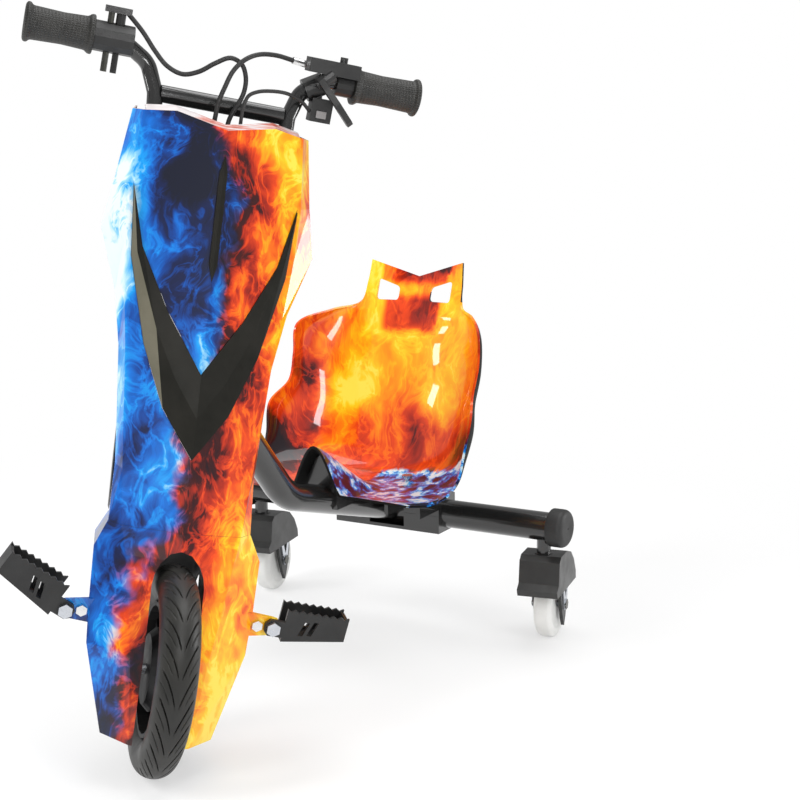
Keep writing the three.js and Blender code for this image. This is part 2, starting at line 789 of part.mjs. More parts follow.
// Foot pegs: channels with toothed top edges, hinged on the brackets
const pegPlate = 4;
const pegDepth = 34;
const pegRoot = 13; // from the pivot to the channel
const pegLength = 91;
const pegTabRadius = 10;
const pegTeeth = 8;
const pegToothDepth = 3;
const pegTop = 27;
const pegFootRoot = -15;
const pegFootTip = -3;
const pegSlotShares = [0.24, 0.38]; // of the channel's length
const pegSlotWidth = 6;
const pegSlotRise = 18;
const pegSlotLean = 6;
const pegSetBack = 2; // of the channel's front face ahead of its tab
const pegFrontFace = bracketFront - gap - pegPlate - pegSetBack;
const pegFootAt = (x) => pegFootRoot + ((pegFootTip - pegFootRoot) * (x - pegRoot)) / (pegLength - pegRoot);

function pegOutline(start) {
  const outline = [
    [start, pegFootAt(pegRoot)],
    [pegRoot, pegFootRoot],
    [pegLength, pegFootTip],
  ];
  const pitch = (pegLength - pegRoot) / pegTeeth;
  for (let i = 0; i < pegTeeth; i++) {
    outline.push([pegLength - i * pitch, pegTop]);
    outline.push([pegLength - (i + 0.5) * pitch, pegTop - pegToothDepth]);
  }
  outline.push([pegRoot, pegTop]);
  return start < pegRoot ? outline : outline.slice(1);
}

function peg(raise) {
  const front = -pegFrontFace;
  const tabBack = -(bracketFront - gap);
  const plate = slab(pegOutline(pegRoot), front - pegPlate, front, "xz");
  const rearPlate = slab(pegOutline(pegRoot), front - pegDepth, front - pegDepth + pegPlate, "xz");
  const tab = slab(
    [
      [-pegTabRadius / 2, -pegTabRadius],
      [pegRoot + pegPlate, -pegTabRadius],
      [pegRoot + pegPlate, pegTabRadius],
      [-pegTabRadius / 2, pegTabRadius],
      [-pegTabRadius, pegTabRadius / 2],
      [-pegTabRadius, -pegTabRadius / 2],
    ],
    tabBack,
    front,
    "xz",
  );
  const floor = slab(
    [
      [pegRoot, pegFootRoot],
      [pegLength, pegFootTip],
      [pegLength, pegFootTip + pegPlate],
      [pegRoot, pegFootRoot + pegPlate],
    ],
    front - pegDepth,
    front,
    "xz",
  );
  const endWall = slab(
    [
      [pegLength - pegPlate, pegFootTip],
      [pegLength, pegFootTip],
      [pegLength, pegTop - pegToothDepth],
      [pegLength - pegPlate, pegTop - pegToothDepth],
    ],
    front - pegDepth,
    front,
    "xz",
  );
  const slots = pegSlotShares.map((share) => {
    const x = pegRoot + share * (pegLength - pegRoot);
    const low = pegFootAt(x) + 2 * pegPlate;
    const outline = [
      [x, low],
      [x + pegSlotWidth, low],
      [x + pegSlotWidth + pegSlotLean, low + pegSlotRise],
      [x + pegSlotLean, low + pegSlotRise],
    ];
    return slab(outline, -wheelbase, wheelbase, "xz");
  });
  const bore = alongY(pegBoltRadius + gap, 0, 0, -wheelbase, wheelbase);
  const level = cut(join(plate, rearPlate, floor, endWall, tab), bore, ...slots);
  return level.rotate([0, -raise, 0]).translate([pegPivotX, 0, pegPivotZ]);
}

const pegBolt = join(
  alongY(pegBoltRadius, pegPivotX, pegPivotZ, pegFrontFace - pegHeadHeight, bracketBack + gap + pegHeadHeight),
  alongY(pegHeadRadius, pegPivotX, pegPivotZ, pegFrontFace - gap - pegHeadHeight, pegFrontFace - gap, 6),
  alongY(pegHeadRadius, pegPivotX, pegPivotZ, bracketBack + gap, bracketBack + gap + pegHeadHeight, 6),
);
const pegLeft = new THREE.Group();
const pegRight = new THREE.Group();
front.add(pegLeft, pegRight);
add(pegLeft, "foot_peg_left", peg(leftPegRaise), blackPlastic);
add(pegRight, "foot_peg_right", mirror(peg(rightPegRaise)), blackPlastic);
add(front, "peg_bolt_left", pegBolt, steel);
add(front, "peg_bolt_right", mirror(pegBolt), steel);

// Black cheeks behind the fairing's lower edge
const cheekFoot = seamHeight + gap;
const cheekTopShare = 0.362;
const cheekRise = onShell(cheekTopShare) - cheekFoot;
const cheekOuter = seam.back;
const cheekReach = 14;
const cheekShares = [
  [0, 1],
  [0.34, 0.71],
  [0.7, 0.29],
  [1, 0.07],
];
const cheekInner = [];
const cheekRear = [];
cheekShares.forEach(([rise, reach]) => {
  const z = cheekFoot + cheekRise * rise;
  cheekInner.push([backEdge(z) + gap, z]);
  cheekRear.push([backEdge(z) + gap + cheekReach * reach, z]);
});
const cheek = slab([...cheekInner, ...cheekRear.reverse()], cheekOuter - shellWall, cheekOuter, "yz");
add(front, "side_panel_left", cheek, blackPlastic);
add(front, "side_panel_right", mirror(cheek), blackPlastic);

// Rear cover: a shallow tray behind the fairing with a floor for the battery and controller
const trayFootShare = 0.535;
const trayTopShare = 0.942;
const trayFoot = onShell(trayFootShare);
const trayTop = onShell(trayTopShare);
const trayDepth = 14;
const trayEdge = 18;
const traySlope = 10;

function traySection(z, inset, forward) {
  const half = levelAt(z).back;
  const near = backEdge(z) + gap;
  const flange = near + shellWall - inset;
  const right = [
    [half - (inset ? trayEdge : 0), near - forward],
    [half - (inset ? trayEdge : 0), flange],
    [half - trayEdge, flange],
    [half - trayEdge - traySlope, flange + trayDepth],
  ];
  const inner = right.filter((point, i) => !inset || i !== 2);
  const both = [...inner, ...inner.slice().reverse().map(([x, y]) => [-x, y])];
  return both.map(([x, y]) => v3(x, y, z));
}

const levelsInTray = shellLevels.map((level) => level.z).filter((z) => z > trayFoot + shellWall && z < trayTop - shellWall);
const trayHeights = [trayFoot, ...levelsInTray, trayTop];
const trayInnerHeights = [trayFoot + shellWall, ...levelsInTray, trayTop - shellWall];
const trayOuter = loft(trayHeights.map((z) => traySection(z, 0, 0)));
const trayInner = loft(trayInnerHeights.map((z) => traySection(z, shellWall, overrun)));
const floorInset = trimDepth + gap;
const trayFloor = loft([trayFoot, trayFoot + shellWall].map((z) => shellSection(levelAt(z), floorInset, overrun)));
const tray = cut(join(cut(trayOuter, trayInner), trayFloor), bothUprightRooms);
add(front, "rear_cover", tray, blackPlastic);

// Battery and controller standing on that floor, leaning with the face
function leaningBox(halfWidth, from, to, foot, top) {
  const outline = [
    [faceY(foot) + from, foot],
    [faceY(foot) + to, foot],
    [faceY(top) + to, top],
    [faceY(top) + from, top],
  ];
  return slab(outline, -halfWidth, halfWidth, "yz");
}
const boxFoot = trayFoot + shellWall + gap;
const batteryHalf = 58;
const batteryNear = 26;
const batteryFar = 60;
const batteryTopShare = 0.844;
const batteryTop = onShell(batteryTopShare);
const controllerHalf = 48;
const controllerNear = 66;
const controllerFar = 88;
const controllerTopShare = 0.679;
const controllerTop = onShell(controllerTopShare);
add(front, "battery_pack", leaningBox(batteryHalf, batteryNear, batteryFar, boxFoot, batteryTop), batteryWrap);
const controllerBox = leaningBox(controllerHalf, controllerNear, controllerFar, boxFoot, controllerTop);
add(front, "motor_controller", controllerBox, greyCasting);

// Cables from the controls down into the fairing, to the controller. The last number of a point
// is its height above the grips.
const cableRadius = 3;
const wireRadius = 2.4;
const cableSides = 8;
const cableStepsPerPoint = 1.4;
const throttleRoute = [
  [-132, 296, 33],
  [-112, 288, 15],
  [-94, 282, -5],
  [-77, 276, -20],
  [-57, 272, -26],
  [-38, 268, -19],
  [-20, 266, -5],
  [-2, 266, 5],
  [13, 266, 0],
  [21, 265, -16],
  [21, 263, -35],
  [15, 261, -52],
  [8, 260, -72],
  [8, 254, -123],
  [8, 238, -173],
  [8, 228, -212],
];
const brakeRoute = [
  [79, 282, 17],
  [56, 277, 19],
  [33, 268, 16],
  [14, 256, 6],
  [1, 249, -10],
  [-6, 247, -31],
  [-11, 246, -52],
  [-12, 245, -72],
  [-14, 250, -123],
  [-16, 238, -173],
  [-16, 228, -212],
];
const wireRoute = [
  [113, 285, -42],
  [99, 275, -32],
  [77, 262, -25],
  [54, 250, -25],
  [35, 244, -29],
  [24, 241, -36],
  [20, 240, -50],
  [20, 241, -69],
  [26, 250, -123],
  [30, 238, -173],
  [30, 228, -212],
];

const curveOf = (route) => new THREE.CatmullRomCurve3(route.map(([x, y, z]) => v3(x, y, gripHeight + z)));
function cable(route, radius) {
  const curve = curveOf(route);
  return bar(radius, curve, Math.round(cableStepsPerPoint * route.length), cableSides);
}

const cables = [
  ["throttle_cable", throttleRoute, cableRadius],
  ["brake_cable", brakeRoute, cableRadius],
  ["switch_wire", wireRoute, wireRadius],
];
cables.forEach(([name, route, radius]) => add(front, name, cable(route, radius), rubber));
const cableRooms = cables.map(([, route, radius]) => cable(route, radius + gap));

// Top cover, notched round the uprights and cables
const topCoverShare = 0.934;
const topCoverFoot = onShell(topCoverShare);
const topCover = loft(
  [topCoverFoot, topCoverFoot + shellWall].map((z) => shellSection(levelAt(z), shellWall + 3 * gap, -gap)),
);
add(front, "top_cover", cut(topCover, bothUprightRooms, ...cableRooms), blackPlastic);

// Grips
const gripRadius = 21;
const gripFlange = 24.5;
const gripFlangeWidth = 5;
const gripEnd = 252;
const gripCapThick = 3;
const gripCapEdge = 1;
const gripStart = 165;
const gripBarEnd = gripEndX + gap;

function grip(start) {
  const profile = [
    [forkRadius + gap, start],
    [gripFlange, start],
    [gripFlange, start + gripFlangeWidth],
    [gripRadius, start + 2 * gripFlangeWidth],
    [gripRadius, gripEnd - gripFlangeWidth],
    [gripFlange, gripEnd - gripFlangeWidth],
    [gripFlange, gripEnd + gripCapEdge],
    [gripRadius, gripEnd + gripCapThick],
    [0, gripEnd + gripCapThick],
    [0, gripBarEnd],
    [forkRadius + gap, gripBarEnd],
    [forkRadius + gap, start],
  ];
  return turned(profile, roundSides, acrossX, v3(0, gripY, gripHeight));
}
add(front, "grip_left", grip(gripStart), rubber);
const throttleStart = 170;
const throttle = new THREE.Group();
front.add(throttle);
add(throttle, "throttle_grip", mirror(grip(throttleStart)), rubber);

// Throttle housing: a barrel on the bar, a bridge on two posts that takes the cable, and two
// screw posts, one of them right through
const barrelRadius = 19;
const barrelStart = 121;
const barrelEnd = throttleStart - gap;
const bridgeSpanX = [128, 160];
const bridgeHalf = 10;
const bridgeRise = 39; // its top, above the bar's centre
const bridgeThick = 8;
const postRadius = 4;
const postDrop = 42; // the posts' lower ends, below the bar's centre
const shortPostRadius = 6;
const tallPostX = 152;
const shortPostX = 140;
const postAt = (radius, x, from, to) => rod(radius, v3(x, gripY, gripHeight + from), v3(x, gripY, gripHeight + to), 8);
const housing = cut(
  join(
    rod(barrelRadius, v3(barrelStart, gripY, gripHeight), v3(barrelEnd, gripY, gripHeight)),
    block(
      bridgeSpanX[1] - bridgeSpanX[0],
      2 * bridgeHalf,
      bridgeThick,
      v3((bridgeSpanX[0] + bridgeSpanX[1]) / 2, gripY, gripHeight + bridgeRise - bridgeThick / 2),
    ),
    postAt(postRadius, tallPostX, -postDrop, bridgeRise - bridgeThick / 2),
    postAt(shortPostRadius, shortPostX, 0, bridgeRise - bridgeThick / 2),
    postAt(postRadius, shortPostX, -postDrop, 0),
  ),
  uprightRoom,
  mirror(cableRooms[0]),
);
add(front, "throttle_housing", mirror(housing), blackPlastic);

// Brake perch with the lever's pivot pin, and the lever
const leverLength = 66;
const leverInner = 118; // its pivot, from the middle of the bar
const leverForward = 30;
const leverDrop = 3;
const leverPivot = v3(leverInner, gripY - leverForward, gripHeight - leverDrop);
const leverRun = v3(Math.SQRT1_2, 0, -Math.SQRT1_2);
const leverAxis = v3(Math.SQRT1_2, 0, Math.SQRT1_2);
const leverThick = 8;
const leverEye = 9;
const pinRadius = 2.5;
const pinHead = 5;
const pinHeadHeight = 3;
const perchArm = 18;
const perchRing = 17;
const perchRingStart = 142;
const perchRingEnd = gripStart - gap;
const perchRise = 8; // its foot, above the bar's centre
const perchTall = 18;
const perchForward = 36; // its near edge, ahead of the bar's centre
const perchDeep = 30;
const perchFoot = gripHeight + perchRise;
const perchTop = perchFoot + perchTall;
const perchNear = gripY - perchForward;
const perchFar = perchNear + perchDeep;
const perchInner = 98;
const knobX = 146;
const knobRadius = 5;
const knobHeight = 7;
const adjusterRadius = 4.5;
const adjusterLength = 23;
const onLeverAxis = (distance) => leverPivot.clone().addScaledVector(leverAxis, distance);
const brakeCurve = curveOf(brakeRoute);
const fromBrakeCable = (distance) =>
  brakeCurve.getPointAt(0).addScaledVector(brakeCurve.getTangentAt(0), -distance);
const perch = join(
  cut(rod(perchRing, v3(perchRingStart, gripY, gripHeight), v3(perchRingEnd, gripY, gripHeight), 16), uprightRoom),
  cut(
    block(
      perchRingEnd - perchInner,
      perchFar - perchNear,
      perchTop - perchFoot,
      v3((perchRingEnd + perchInner) / 2, (perchFar + perchNear) / 2, (perchTop + perchFoot) / 2),
    ),
    uprightRoom,
  ),
  rod(leverEye, onLeverAxis(leverThick / 2 + gap), onLeverAxis(perchArm), 12),
  rod(pinRadius, onLeverAxis(-leverThick / 2 - pinHeadHeight), onLeverAxis(perchArm), 8),
  rod(pinHead, onLeverAxis(-leverThick / 2 - gap - pinHeadHeight), onLeverAxis(-leverThick / 2 - gap), 8),
  rod(adjusterRadius, fromBrakeCable(adjusterLength), fromBrakeCable(gap), 10),
  rod(knobRadius, v3(knobX, perchFar - knobRadius, perchFoot), v3(knobX, perchFar - knobRadius, perchTop + knobHeight), 10),
);
add(front, "brake_perch", perch, blackPlastic);

const leverShares = [
  [0.5, -1.3],
  [0.92, -1],
  [1, -0.5],
  [0.96, 0.2],
  [0.5, -0.1],
];
const leverOutline = [
  [-leverEye, -leverEye / 2],
  [-leverEye / 2, -leverEye],
  [leverEye, -leverEye],
  ...leverShares.map(([run, eye]) => [leverLength * run, leverEye * eye]),
  [leverEye, leverEye / 2],
  [leverEye / 2, leverEye],
  [-leverEye / 2, leverEye],
  [-leverEye, leverEye / 2],
];
const leverMatrix = new THREE.Matrix4()
  .makeBasis(leverRun, v3(0, 1, 0), leverAxis)
  .setPosition(leverPivot);
const leverBlade = slab(leverOutline, -leverThick / 2, leverThick / 2, "xy").transform(leverMatrix.elements);
const leverBore = rod(pinRadius + gap, onLeverAxis(-perchArm), onLeverAxis(perchArm), 8);
const lever = new THREE.Group();
front.add(lever);
add(lever, "brake_lever", cut(leverBlade, leverBore), blackPlastic);

// Switch box under the bar on its own clamp, with its button facing forward
const boxInner = 114; // from the middle of the bar
const boxWide = 28;
const boxDeep = 22;
const boxTall = 30;
const boxForward = 14; // its front, ahead of the bar's centre
const boxDrop = 24; // its top, below the bar's centre
const clampRadius = 15;
const clampShares = [0.14, 0.8]; // where its clamp starts and ends on the bar's outward bend
const buttonHalf = 6.5;
const buttonHalfTall = 4.5;
const buttonRise = 10; // its centre, above the box's foot
const buttonProud = 2.5;
const buttonThick = 6.5;
const buttonTravel = 1.8;
const boxFront = gripY - boxForward;
const boxTop = gripHeight - boxDrop;
const boxBase = boxTop - boxTall;
const boxMiddle = boxInner + boxWide / 2;
const buttonAt = (y) => v3(boxMiddle, y, boxBase + buttonRise);
const buttonBack = boxFront - buttonProud + buttonThick;
const well = block(
  2 * (buttonHalf + gap),
  buttonBack + buttonTravel + gap - boxFront + overrun,
  2 * (buttonHalfTall + gap),
  buttonAt((buttonBack + buttonTravel + gap + boxFront - overrun) / 2),
);
const [, , , , bendStart, bendEnd] = uprightPoints;
const onBend = (share) => bendStart.clone().lerp(bendEnd, share);
const boxClamp = rod(clampRadius, onBend(clampShares[0]), onBend(clampShares[1]), 16);
const boxBody = block(boxWide, boxDeep, boxTall, v3(boxMiddle, boxFront + boxDeep / 2, boxBase + boxTall / 2));
const boxNeck = block(
  clampRadius,
  clampRadius,
  boxDrop + overrun,
  v3(onBend(clampShares[1]).x - clampRadius / 2, gripY, gripHeight - (boxDrop + overrun) / 2),
);
const switchBox = cut(join(boxBody, boxClamp, boxNeck), uprightRoom, well, cableRooms[2]);
add(front, "switch_box", switchBox, blackPlastic);
const button = new THREE.Group();
front.add(button);
const buttonCap = block(
  2 * buttonHalf,
  buttonThick,
  2 * buttonHalfTall,
  buttonAt(boxFront - buttonProud + buttonThick / 2),
);
add(button, "horn_button", buttonCap, whitePlastic);

// Turn the front end about its steering axis and let the tyre down to the casters' floor
const pivotPoint = v3(0, trail, axleHeight);
const steering = new THREE.Group();
steering.position.copy(pivotPoint);
steering.quaternion.setFromAxisAngle(steerAxis, steerAngle * degree);
front.position.copy(pivotPoint).negate();
steering.add(front);
steering.updateMatrixWorld(true);
const settle = -new THREE.Box3().setFromObject(wheel, true).min.z;
steering.position.z += settle;
const settled = (point) => point.clone().add(v3(0, 0, settle));

// Main frame: head tube on the steering axis and a bent tube back to the cross tube
const mainTubeRadius = 20;
const mainTubeShare = 0.61; // of the head tube, where the main tube leaves it
const mainTubeBendY = 330;
const mainTubeBendHeight = 262;
const mainTubeStart = settled(headFoot.clone().lerp(headTop, mainTubeShare));
const mainTubeBend = v3(0, mainTubeBendY, mainTubeBendHeight);
const crossTubeY = 628;
const crossTubeZ = 177;
const crossTubeRadius = 21;
const crossTubeEnd = 24; // how far it runs past a caster
const crossTubeHalf = rearTrack / 2 + crossTubeEnd;
const mainTubeBendRadius = 90;
const crossCentre = v3(0, crossTubeY, crossTubeZ);
const mainPoints = [mainTubeStart, mainTubeBend, crossCentre];
const crossRoom = rod(
  crossTubeRadius + gap,
  v3(-crossTubeHalf, crossTubeY, crossTubeZ),
  v3(crossTubeHalf, crossTubeY, crossTubeZ),
  roundSides,
);
const headFootSettled = settled(headFoot);
const headTopSettled = settled(headTop);
const headBore = rod(
  headTubeRadius - headTubeWall,
  headFootSettled.clone().addScaledVector(steerAxis, -overrun),
  headTopSettled.clone().addScaledVector(steerAxis, overrun),
  roundSides,
);
const headTube = rod(headTubeRadius, headFootSettled, headTopSettled, roundSides);
const mainTube = bentBar(mainTubeRadius, mainPoints, mainTubeBendRadius, frameSides);
const mainRoom = bentBar(mainTubeRadius + gap, mainPoints, mainTubeBendRadius, frameSides);
add(rear, "main_frame", cut(join(headTube, mainTube), headBore, crossRoom), blackPaint);

// Bearing cups at both ends of the head tube
function cup(from, direction) {
  const axis = steerAxis.clone().multiplyScalar(direction);
  const profile = [
    [steererRadius + gap, cupHeight],
    [steererRadius + gap, -cupHeight],
    [headTubeRadius - headTubeWall - gap, -cupHeight],
    [headTubeRadius - headTubeWall - gap, gap],
    [cupRadius, gap],
    [cupRadius, cupHeight],
    [steererRadius + gap, cupHeight],
  ];
  return turned(profile, roundSides, axis, from);
}
add(rear, "bearing_cup_upper", cup(headTopSettled, 1), greyCasting);
add(rear, "bearing_cup_lower", cup(headFootSettled, -1), greyCasting);

// Rear cross tube with a rubber cap on each end
const crossTube = rod(
  crossTubeRadius,
  v3(-crossTubeHalf, crossTubeY, crossTubeZ),
  v3(crossTubeHalf, crossTubeY, crossTubeZ),
  roundSides,
);
add(rear, "rear_cross_tube", crossTube, blackPaint);
const capRadius = 28;
const capGrip = 12; // how far a cap reaches over the tube
const capCrown = 14; // and past its end
const capStart = crossTubeHalf - capGrip;
const capEnd = crossTubeHalf + capCrown;
const capEdge = 7;
const endCap = turned(
  [
    [crossTubeRadius + gap, capStart],
    [capRadius, capStart],
    [capRadius, capEnd - capEdge],
    [capRadius - capEdge / 3, capEnd - capEdge / 3],
    [capRadius - capEdge, capEnd],
    [0, capEnd],
    [0, crossTubeHalf + gap],
    [crossTubeRadius + gap, crossTubeHalf + gap],
    [crossTubeRadius + gap, capStart],
  ],
  roundSides,
  acrossX,
  v3(0, crossTubeY, crossTubeZ),
);

// Bucket seat: stations from the front lip to the top of the headrest, each a point on the
// centre line and a point on the left edge
const seatThick = 5;
const seatFront = 405;
const seatRun = 308;
const seatBase = 236;
const seatRise = 312;
const seatHalf = 170;
const seatShares = [
  [0, 0.045, 0.824, 0.065, 0.016],
  [0.114, 0.013, 0.941, 0.198, 0.01],
  [0.373, 0, 0.976, 0.357, 0.071],
  [0.568, 0.006, 0.982, 0.419, 0.192],
  [0.672, 0.071, 1, 0.463, 0.333],
  [0.75, 0.212, 0.918, 0.575, 0.43],
  [0.812, 0.372, 0.924, 0.627, 0.558],
  [0.854, 0.526, 0.908, 0.648, 0.696],
  [0.899, 0.679, 0.706, 0.802, 0.753],
  [0.925, 0.756, 0.518, 0.896, 0.785],
  [0.961, 0.84, 0.482, 0.948, 0.894],
  [1, 0.917, 0.465, 0.974, 0.994],
];
const seatStations = seatShares.map(([run, rise, half, edgeRun, edgeRise]) => [
  seatFront + run * seatRun,
  seatBase + rise * seatRise,
  half * seatHalf,
  seatFront + edgeRun * seatRun,
  seatBase + edgeRise * seatRise,
]);
const seatRows = 17;
const headrestShares = [0.7, 0.88]; // of the rows, where the edge's curl turns into a straight rise
const seatColumnShares = [0, 0.09, 0.18, 0.29, 0.5, 0.74, 0.9, 1];
const pommelRise = 66;
const pommelHalf = 42;
const pommelRun = 150;
const pommelY = seatFront;
const seatCentre = new THREE.CatmullRomCurve3(seatStations.map(([y, z]) => v3(0, y, z)));
const seatEdge = new THREE.CatmullRomCurve3(seatStations.map(([, , x, y, z]) => v3(x, y, z)));

function seatPoint(along, across) {
  const centre = seatCentre.getPoint(along);
  const edge = seatEdge.getPoint(along);
  const curl = 1 - Math.sqrt(Math.max(0, 1 - across * across));
  const [low, high] = headrestShares;
  const straight = THREE.MathUtils.smoothstep(along, low, high);
  const lift = THREE.MathUtils.lerp(curl, Math.abs(across), straight);
  const x = edge.x * across;
  const y = centre.y + (edge.y - centre.y) * lift;
  const z = centre.z + (edge.z - centre.z) * lift;
  const [u, w] = [Math.abs(x) / pommelHalf, Math.abs(y - pommelY) / pommelRun];
  const rise = u < 1 && w < 1 ? (1 - u * u) ** 1.5 * Math.cos((Math.PI / 2) * w) ** 2 : 0;
  return v3(x, y, z + pommelRise * rise);
}

// The way out of the seat's back and underside
function seatOut(along, across) {
  const step = 1e-3;
  const clamped = (value, low, high) => Math.min(high, Math.max(low, value));
  const ahead = seatPoint(clamped(along + step, 0, 1), across).sub(seatPoint(clamped(along - step, 0, 1), across));
  const [near, far] = [clamped(across - step, -1, 1), clamped(across + step, -1, 1)];
  const beside = seatPoint(along, far).sub(seatPoint(along, near));
  return ahead.cross(beside).normalize();
}

const seatColumns = [...seatColumnShares.slice(1).reverse().map((share) => -share), ...seatColumnShares];

// A closed solid between two copies of the seat's surface
function seatSolid(rows, upper, lower) {
  const positions = [];
  const face = (...points) => points.forEach((p) => positions.push(p.x, p.y, p.z));
  const quad = (a, b, c, d) => {
    face(a, b, c);
    face(a, c, d);
  };
  const grid = (place) => rows.map((along) => seatColumns.map((across) => place(along, across)));
  const [top, bottom] = [grid(upper), grid(lower)];
  const [lastRow, lastColumn] = [rows.length - 1, seatColumns.length - 1];
  for (let i = 0; i < lastRow; i++) {
    for (let j = 0; j < lastColumn; j++) {
      quad(top[i][j], top[i][j + 1], top[i + 1][j + 1], top[i + 1][j]);
      quad(bottom[i][j], bottom[i + 1][j], bottom[i + 1][j + 1], bottom[i][j + 1]);
    }
    quad(top[i][0], top[i + 1][0], bottom[i + 1][0], bottom[i][0]);
    quad(top[i + 1][lastColumn], top[i][lastColumn], bottom[i][lastColumn], bottom[i + 1][lastColumn]);
  }
  for (let j = 0; j < lastColumn; j++) {
    quad(top[0][j + 1], top[0][j], bottom[0][j], bottom[0][j + 1]);
    quad(top[lastRow][j], top[lastRow][j + 1], bottom[lastRow][j + 1], bottom[lastRow][j]);
  }
  const geometry = new THREE.BufferGeometry();
  geometry.setAttribute("position", new THREE.BufferAttribute(new Float32Array(positions), 3));
  return solid(geometry);
}

const rowsTo = (end, count) => Array.from({ length: count + 1 }, (_, i) => (end * i) / count);
const offsetSeat = (distance) => (along, across) =>
  seatPoint(along, across).addScaledVector(seatOut(along, across), distance);
const seatShell = seatSolid(rowsTo(1, seatRows), offsetSeat(0), offsetSeat(seatThick));
const panShare = 0.46; // of the rows, those over the brackets
const panLift = 90;
const panRows = rowsTo(1, seatRows).filter((along) => along < panShare);
const panRoom = seatSolid(
  panRows,
  (along, across) => offsetSeat(seatThick)(along, across).add(v3(0, 0, panLift)),
  (along, across) => offsetSeat(seatThick)(along, across).add(v3(0, 0, -gap)),
);
const windowInner = 27;
const windowOuter = 64;
const windowFoot = 486;
const windowTall = 32;
const windowSlant = 12; // how much lower its top is at the inner side
const windowOutline = [
  [windowInner, windowFoot],
  [windowOuter, windowFoot],
  [windowOuter, windowFoot + windowTall],
  [windowInner, windowFoot + windowTall - windowSlant],
];
const seatWindow = slab(windowOutline, -2 * wheelbase, wheelbase / -2, "xz");
const seatBoltRadius = 4;
const seatBoltHead = 8;
const seatBoltHeadHeight = 4;
const seatBoltX = 60;
const seatBoltY = 562;
const seatBoltTop = 243;
const seatBoltFoot = 214;
const seatBoltHole = rod(
  seatBoltRadius + gap,
  v3(seatBoltX, seatBoltY, seatBoltFoot - overrun),
  v3(seatBoltX, seatBoltY, seatBoltTop + panLift),
  12,
);
const seatBoltSeat = rod(
  seatBoltHead + gap,
  v3(seatBoltX, seatBoltY, seatBoltTop - gap),
  v3(seatBoltX, seatBoltY, seatBoltTop + panLift),
  12,
);
const seatCuts = [seatWindow, seatBoltHole, seatBoltSeat];
add(rear, "seat_shell", cut(seatShell, ...seatCuts, ...seatCuts.map(mirror)), flamePrint);

// Seat brackets: one straddles the main tube under the pommel, one stands on the cross tube
const frontBracketHalf = 24;
const frontBracketFrom = 425;
const frontBracketTo = 470;
const frontBracketFoot = 222;
const frontBracketTop = 320;
const frontBracket = cut(
  block(
    2 * frontBracketHalf,
    frontBracketTo - frontBracketFrom,
    frontBracketTop - frontBracketFoot,
    v3(0, (frontBracketFrom + frontBracketTo) / 2, (frontBracketTop + frontBracketFoot) / 2),
  ),
  mainRoom,
  panRoom,
);
const saddleFrom = 602;
const saddleTo = 654;
const saddleInner = 30;
const saddleOuter = 90;
const clampThick = 5;
const clampTop = crossTubeZ - crossTubeRadius - gap;
const clampFoot = clampTop - clampThick;
const risersFrom = 545;
const risersTo = 620;
const riserTop = 290;
const risersThick = 6;
const flangeFoot = 220;
const flangeRun = 32;
const spacerRadius = 10;
const between = (x, y, z) => {
  const sizes = [x, y, z].map(([from, to]) => to - from);
  return block(...sizes, v3(...[x, y, z].map(([from, to]) => (from + to) / 2)));
};
const upperSaddle = between([saddleInner, saddleOuter], [saddleFrom, saddleTo], [crossTubeZ + gap, crossTubeZ + 2 * crossTubeRadius - saddleInner / 2]);
const lowerSaddle = between([saddleInner, saddleOuter], [saddleFrom, saddleTo], [clampTop - overrun, crossTubeZ]);
const riserSpan = [crossTubeZ + crossTubeRadius / 2, riserTop];
const riser = (from) => between([from, from + risersThick], [risersFrom, risersTo], riserSpan);
const flange = between([saddleInner, saddleOuter], [risersFrom, risersFrom + flangeRun], [flangeFoot, flangeFoot + risersThick]);
const spacer = rod(spacerRadius, v3(seatBoltX, seatBoltY, flangeFoot), v3(seatBoltX, seatBoltY, riserTop));
const rearSide = cut(
  join(upperSaddle, riser(saddleInner), riser(saddleOuter - risersThick), flange, spacer),
  crossRoom,
  panRoom,
  seatBoltHole,
);
const tie = between(
  [-saddleOuter, saddleOuter],
  [risersTo - 4 * clampThick, risersTo - 3 * clampThick],
  [mainTubeTopAt(risersTo) + clampThick, mainTubeTopAt(risersTo) + 3 * clampThick],
);
add(rear, "seat_bracket_front", frontBracket, blackPaint);
add(rear, "seat_bracket_rear", cut(join(rearSide, mirror(rearSide), tie), mainRoom, panRoom), blackPaint);
const clampPlate = between([-saddleOuter, saddleOuter], [saddleFrom, saddleTo], [clampFoot, clampTop]);
const clampLower = cut(join(clampPlate, lowerSaddle, mirror(lowerSaddle)), crossRoom, mainRoom);
add(rear, "seat_clamp_plate", clampLower, blackPaint);

function mainTubeTopAt(y) {
  const share = (y - mainTubeBend.y) / (crossTubeY - mainTubeBend.y);
  return mainTubeBend.z + (crossTubeZ - mainTubeBend.z) * share + mainTubeRadius;
}

const seatBolt = join(
  rod(seatBoltRadius, v3(seatBoltX, seatBoltY, seatBoltFoot), v3(seatBoltX, seatBoltY, seatBoltTop + overrun), 12),
  rod(seatBoltHead, v3(seatBoltX, seatBoltY, seatBoltTop), v3(seatBoltX, seatBoltY, seatBoltTop + seatBoltHeadHeight), 12),
);
add(rear, "seat_bolt_left", seatBolt, steel);
add(rear, "seat_bolt_right", mirror(seatBolt), steel);

